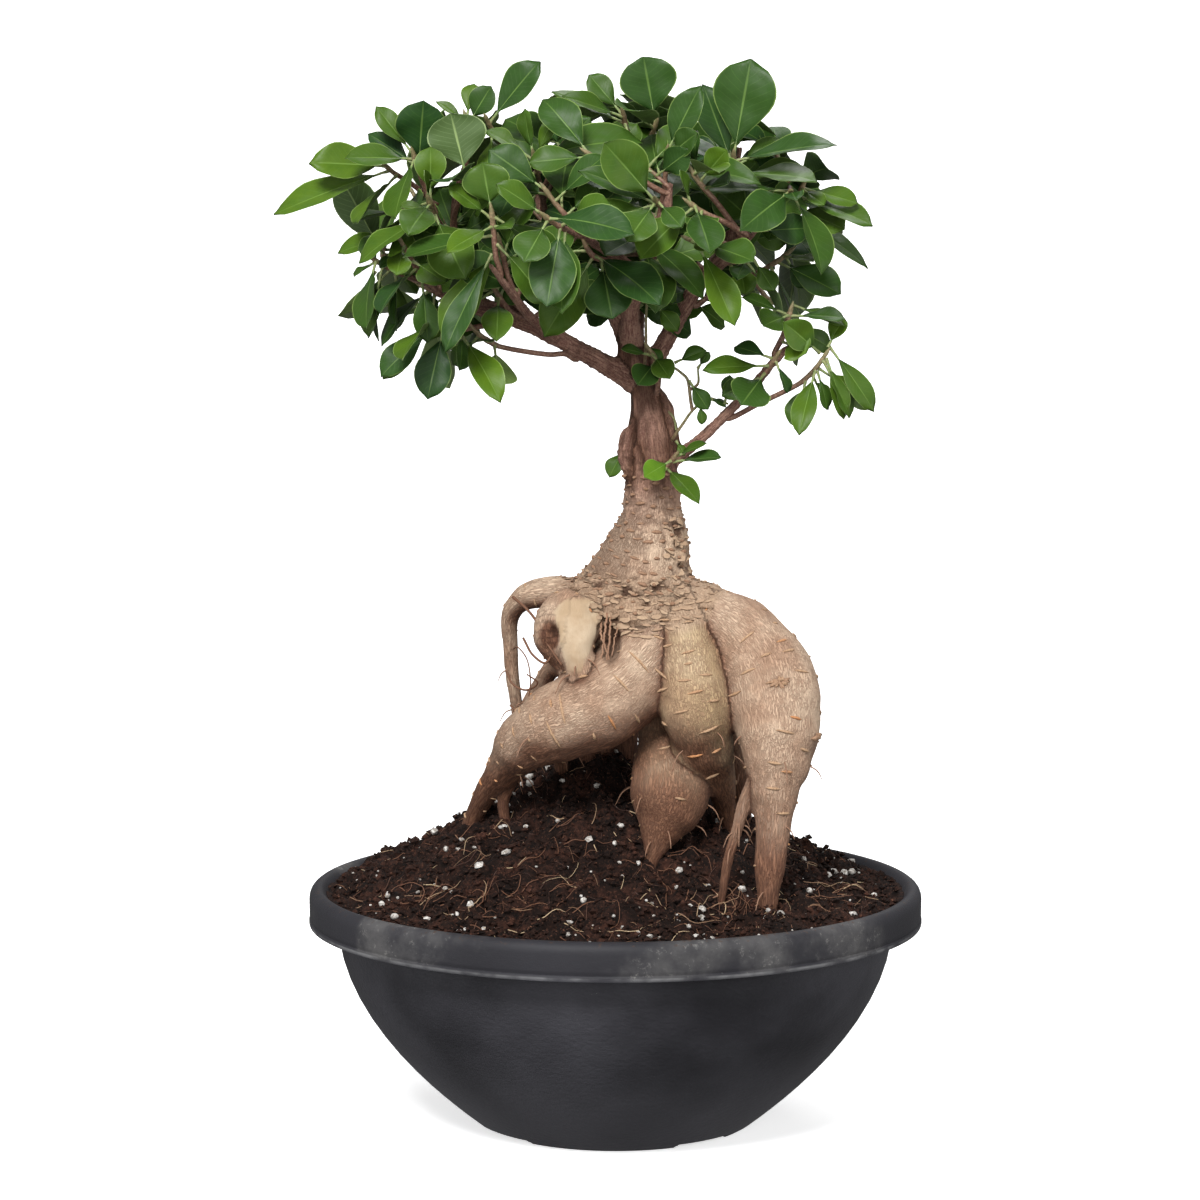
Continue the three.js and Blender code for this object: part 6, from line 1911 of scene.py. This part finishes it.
class FICUS_OT_shoots(bpy.types.Operator):
    """Grows each shoot's twig, buds and leaves on the solid that it stands for"""

    bl_idname = "ficus.shoots"
    bl_label = "Leafy Shoots"

    def execute(self, context):
        settings = context.scene.ficus_leaf
        materials = leafy_materials(settings)
        stems = np.vstack([rows for name, kind, rows in limb_runs() if kind != "root"])
        for name in sorted(n for n in frame["nodes"] if n.startswith("shoot_")):
            draw = random.Random(name)
            leaves, bare = read_shoot(frame["nodes"][name])
            if not leaves:
                self.report({"ERROR"}, "No leaf was read from " + name)
                return {"CANCELLED"}
            skin = Foliage()
            line = grow_twig(skin, leaves, bare, stems)
            for leaf in leaves:
                middle = leaf.point(0.5, 0)
                young = nearest_of(YOUNG_LEAVES, middle) < 11
                spot = np.array(BROWN_SPOT) if nearest_of([BROWN_SPOT], middle) < 25 else None
                tone = draw.random()
                start = min(line, key=lambda p: norm(p[:3] - leaf.base))[:3]
                stalk_of(skin, leaf, start, float(young))
                sprout_leaf(skin, leaf, settings, draw, tone, float(young), spot)
            finish_piece(skin.piece(name + "_leaves"), "leaf", materials, name)
        return {"FINISHED"}


class FICUS_OT_inner_leaves(bpy.types.Operator):
    """Fills the shaded heart of the crown with short spurs, each with its few smaller leaves"""

    bl_idname = "ficus.inner_leaves"
    bl_label = "Inner Leaves"

    def execute(self, context):
        settings = context.scene.ficus_leaf
        draw = random.Random(77)
        middle = np.array((-8, 0, 512))
        taken = []
        skin = Foliage()
        spots = [row for name, kind, rows in limb_runs() if kind == "branch" for row in rows[::3]]
        draw.shuffle(spots)
        for row in spots:
            if len(taken) >= settings.spurs:
                break
            inside = row[2] >= 458 and row[1] >= -70
            if not inside or any(norm(row[:3] - t) < 12 for t in taken):
                continue
            taken.append(row[:3])
            heading = np.array((draw.uniform(-1, 1), draw.uniform(-0.2, 1), draw.uniform(-0.1, 1)))
            heading /= norm(heading)
            reach = draw.uniform(14, 26)
            stops = ((0, 1.5), (0.6, 1.2), (1, 0.9))
            path = [(*(row[:3] + heading * reach * share), radius) for share, radius in stops]
            stem = smooth_run(path, 1.6)
            leaves = []
            for i in range(draw.choice((3, 4, 4, 5))):
                base = stem[-1 - 2 * i if 2 * i < len(stem) else 0, :3]
                turn = 2.4 * i + draw.uniform(0, 1)
                out = np.array((cos(turn), 0.5 * sin(turn) + 0.2, 0.55 * sin(turn) + 0.25))
                along = out + heading * 0.5
                length = draw.uniform(26, 40)
                face = np.array((draw.uniform(-0.4, 0.4), -1, draw.uniform(0.1, 0.9)))
                leaf = Leaf.grown(base, along, face, length, length * draw.uniform(0.5, 0.62), draw)
                tip = leaf.point(1, 0)
                if norm((tip - middle) / (175, 110, 78)) < 0.95:
                    leaves.append((leaf, base))
            if len(leaves) < 2:
                continue
            skin.tube(stem, 6, aged=np.linspace(1.2, 0.7, len(stem)), tone=0.5)
            for leaf, base in leaves:
                stalk_of(skin, leaf, base, 0.0)
                tone = draw.random() * 0.6
                sprout_leaf(skin, leaf, settings, draw, tone, 0.0, None, PLAIN_ROWS, PLAIN_ACROSS)
        finish_piece(skin.piece("inner_leaves"), "leaf", leafy_materials(settings))
        return {"FINISHED"}


class FICUS_OT_wiry_twigs(bpy.types.Operator):
    """Adds the wiry twigs beside the trunk, and leaves that hang from the crown's lower corners"""

    bl_idname = "ficus.wiry_twigs"
    bl_label = "Wiry Twigs"

    def execute(self, context):
        settings = context.scene.ficus_leaf
        draw = random.Random(31)
        skin = Foliage()
        for path in WIRY_TWIGS:
            radii = np.linspace(1.0, 0.6, len(path))
            rows = smooth_run([(*p, r) for p, r in zip(path, radii)], 1.4)
            skin.tube(rows, 6, aged=np.linspace(0.9, 0.3, len(rows)), tone=0.5)
        for base, tip, face in WIRY_LEAVES:
            base = np.array(base, dtype=float)
            reach = np.array(tip) - base
            length = norm(reach)
            leaf = Leaf.grown(base, reach, np.array(face), length, length * 0.52, draw)
            stalk_of(skin, leaf, base, 0.2)
            sprout_leaf(skin, leaf, settings, draw, draw.random(), 0.2, None)
        for base, tip, face, width, tone in HANGING_LEAVES:
            base = np.array(base, dtype=float)
            reach = np.array(tip) - base
            leaf = Leaf.grown(base, reach, np.array(face), norm(reach), width, draw)
            stalk_of(skin, leaf, base, 0.2)
            sprout_leaf(skin, leaf, settings, draw, tone, 0.0, None)
        finish_piece(skin.piece("wiry_twigs"), "leaf", leafy_materials(settings))
        return {"FINISHED"}


# Thin twigs that the photograph shows right of the trunk, as runs of (x, y, z)
WIRY_TWIGS = [
    [(30, -4, 388), (34, -12, 395), (38, -14, 401), (43, -15, 408), (52, -16, 415), (57, -16, 414),
     (63, -18, 412)],
    [(43, -15, 408), (42, -15, 414), (40, -16, 426), (37, -16, 429), (33, -17, 432), (27, -18, 434),
     (22, -12, 433)],
    [(42, -15, 420), (46, -16, 423), (46, -17, 432)],
    [(24, -2, 410), (30, -9, 407), (33, -11, 403), (34, -12, 397)],
    [(16, -4, 428), (17, -13, 445), (17, -14, 460), (18, -15, 472), (21, -16, 481), (29, -18, 489),
     (35, -19, 490)],
]
# The hanging leaves: where each starts, ends and faces, its width, and how fresh its green is
HANGING_LEAVES = [
    ((113, -30, 441), (95, -52, 457), (0.1, -1, 0.1), 17, 0.8),
    ((118, -28, 444), (126, -27, 461), (-0.5, -1, 0), 11, 0.9),
    ((119, -27, 444), (145, -34, 410), (0.3, -1, 0.2), 13, 0.6),
    ((117, -28, 438), (129, -36, 406), (0.4, -1, 0.2), 11, 0.7),
    ((111, -28, 431), (100, -54, 399), (-0.3, -1, 0.4), 14, 0.8),
    ((112, -28, 431), (119, -31, 410), (0.6, -1, 0), 8, 0.4),
    ((99, -16, 467), (127, -30, 458), (0, -0.6, 1), 11, 0.7),
    ((-101, -30, 458), (-130, -38, 428), (-0.3, -1, 0.3), 14, 0.5),
    ((-84, -48, 450), (-63, -86, 423), (0.2, -1, 0.5), 17, 1),
    ((-67, -84, 496), (-94, -100, 446), (-0.3, -1, 0.4), 15, 0.1),
    ((-131, -18, 484), (-139, -24, 449), (-1, -0.5, 0.2), 9, 0.2),
    ((-122, -24, 483), (-124, -28, 453), (-1, -0.6, 0.1), 9, 0.2),
    ((-134, -14, 486), (-146, -16, 464), (-1, -0.5, 0.3), 8, 0.3),
    ((-107, -40, 482), (-103, -50, 448), (0.2, -1, 0.2), 15, 0.3),
]
# The wiry twigs' own leaves: where each starts, where it ends and the way it faces
WIRY_LEAVES = [
    ((41, -17, 425), (52, -20, 409), (0, -1, 0.3)), ((47, -18, 412), (49, -21, 401), (0.3, -1, 0.2)),
    ((33, -18, 435), (50, -21, 443), (0, -1, 0.7)), ((61, -18, 412), (64, -21, 428), (0.2, -1, 0.3)),
    ((52, -17, 415), (62, -20, 412), (0, -0.7, 1)), ((27, -20, 483), (31, -23, 468), (-0.2, -1, 0.2)),
    ((31, -20, 489), (44, -23, 480), (0, -1, 0.6)), ((22, -19, 468), (35, -22, 453), (0, -1, 0.3)),
    ((6, -2, 387), (-4, -8, 371), (-0.3, -1, 0.3)), ((34, -12, 391), (39, -15, 383), (0.2, -1, 0.3)),
    ((17, -13, 445), (26, -18, 436), (0, -1, 0.5)), ((46, -17, 432), (52, -20, 441), (0, -1, 0.4)),
]


# The stage

def lay_floor():
    """A floor that curves up into the backdrop."""
    paint = Paint("studio_white", roughness=0.9, Emission_Color=(1, 1, 1, 1), Emission_Strength=0.62)
    cloud = paint.noise(3, detail=2)
    paint.set(Base_Color=paint.mix(cloud, (0.93, 0.93, 0.93), (0.95, 0.95, 0.95)))
    profile = [(-3500, 0), (1800, 0)]
    for i in range(1, 13):
        turn = pi / 2 * i / 12
        profile.append((1800 + 900 * sin(turn), 900 - 900 * cos(turn)))
    profile.append((2700, 4200))
    points = [(x, y, z) for y, z in profile for x in (-5000, 5000)]
    faces = [(2 * i, 2 * i + 1, 2 * i + 3, 2 * i + 2) for i in range(len(profile) - 1)]
    floor = mesh_piece("studio_floor", points, faces)
    bpy.ops.object.shade_smooth()
    floor.data.materials.append(paint.material)
    floor.visible_diffuse = False
    floor.visible_glossy = False


def add_light(name, place, aim, size, energy):
    bpy.ops.object.light_add(type="AREA", location=place)
    lamp = bpy.context.object
    lamp.name = name
    lamp.data.shape = "DISK"
    lamp.data.size = size
    lamp.data.energy = energy
    heading = Vector(aim) - Vector(place)
    lamp.rotation_euler = heading.to_track_quat("-Z", "Y").to_euler()


class FICUS_OT_stage(bpy.types.Operator):
    """Sets the pale floor, the soft studio lights and the camera"""

    bl_idname = "ficus.stage"
    bl_label = "Stage"

    def execute(self, context):
        settings = context.scene.ficus_stage
        scene = context.scene
        scene.view_settings.view_transform = "Standard"
        scene.view_settings.look = "None"
        lay_floor()
        add_light("key", (-0.6, -2.2, 2.4), (0, 0, 0.35), 1.1, 140)
        add_light("low", (0.2, -2.6, 0.35), (0, 0, 0.12), 2.6, 30)
        add_light("left", (-2.3, -0.8, 0.3), (0, 0, 0.08), 1.4, 22)
        add_light("right", (2.3, -0.8, 0.3), (0, 0, 0.08), 1.4, 20)
        add_light("fill", (1.7, -2.2, 1.3), (0, 0, 0.3), 1.6, 10)
        add_light("rim", (0.6, 1.5, 2.6), (0, 0, 0.4), 1.6, 40)
        world = bpy.data.worlds.new("studio")
        world.use_nodes = True
        background = world.node_tree.nodes["Background"]
        background.inputs["Color"].default_value = (1, 1, 1, 1)
        background.inputs["Strength"].default_value = 0.27
        scene.world = world
        bpy.ops.object.camera_add()
        camera = context.object
        camera.name = "camera"
        camera.data.lens = settings.lens
        camera.data.sensor_width = 36
        camera.data.dof.use_dof = False
        camera.data.clip_end = 20
        camera.location = (-8.75 * MM, -settings.distance, 0.511)
        camera.rotation_euler = (pi / 2 - settings.pitch, 0, 0)
        scene.camera = camera
        return {"FINISHED"}


class FICUS_PT_panel(bpy.types.Panel):
    """The ficus and its settings in the sidebar"""

    bl_label = "Ginseng Ficus"
    bl_idname = "FICUS_PT_panel"
    bl_space_type = "VIEW_3D"
    bl_region_type = "UI"
    bl_category = "Ficus"

    def draw(self, context):
        for attribute, group in GROUPS.items():
            box = self.layout.box()
            box.label(text=group.__name__.replace("Settings", ""))
            for name in group.__annotations__:
                box.prop(getattr(context.scene, attribute), name)
        column = self.layout.column()
        for operator in OPERATORS:
            column.operator(operator.bl_idname)


GROUPS = {
    "ficus_bowl": BowlSettings,
    "ficus_soil": SoilSettings,
    "ficus_wood": WoodSettings,
    "ficus_leaf": LeafSettings,
    "ficus_stage": StageSettings,
}
OPERATORS = [
    FICUS_OT_stage, FICUS_OT_bowl, FICUS_OT_soil, FICUS_OT_litter, FICUS_OT_wood, FICUS_OT_rootlets,
    FICUS_OT_shoots, FICUS_OT_inner_leaves, FICUS_OT_wiry_twigs,
]


def register():
    for kind in [*GROUPS.values(), *OPERATORS, FICUS_PT_panel]:
        bpy.utils.register_class(kind)
    for attribute, group in GROUPS.items():
        setattr(bpy.types.Scene, attribute, bpy.props.PointerProperty(type=group))


def unregister():
    for attribute in GROUPS:
        delattr(bpy.types.Scene, attribute)
    for kind in reversed([*GROUPS.values(), *OPERATORS, FICUS_PT_panel]):
        bpy.utils.unregister_class(kind)


def main():
    register()
    bpy.ops.ficus.stage()
    bpy.ops.ficus.bowl()
    bpy.ops.ficus.soil()
    bpy.ops.ficus.litter()
    bpy.ops.ficus.wood()
    bpy.ops.ficus.rootlets()
    bpy.ops.ficus.shoots()
    bpy.ops.ficus.inner_leaves()
    bpy.ops.ficus.wiry_twigs()


if __name__ == "__main__":
    main()
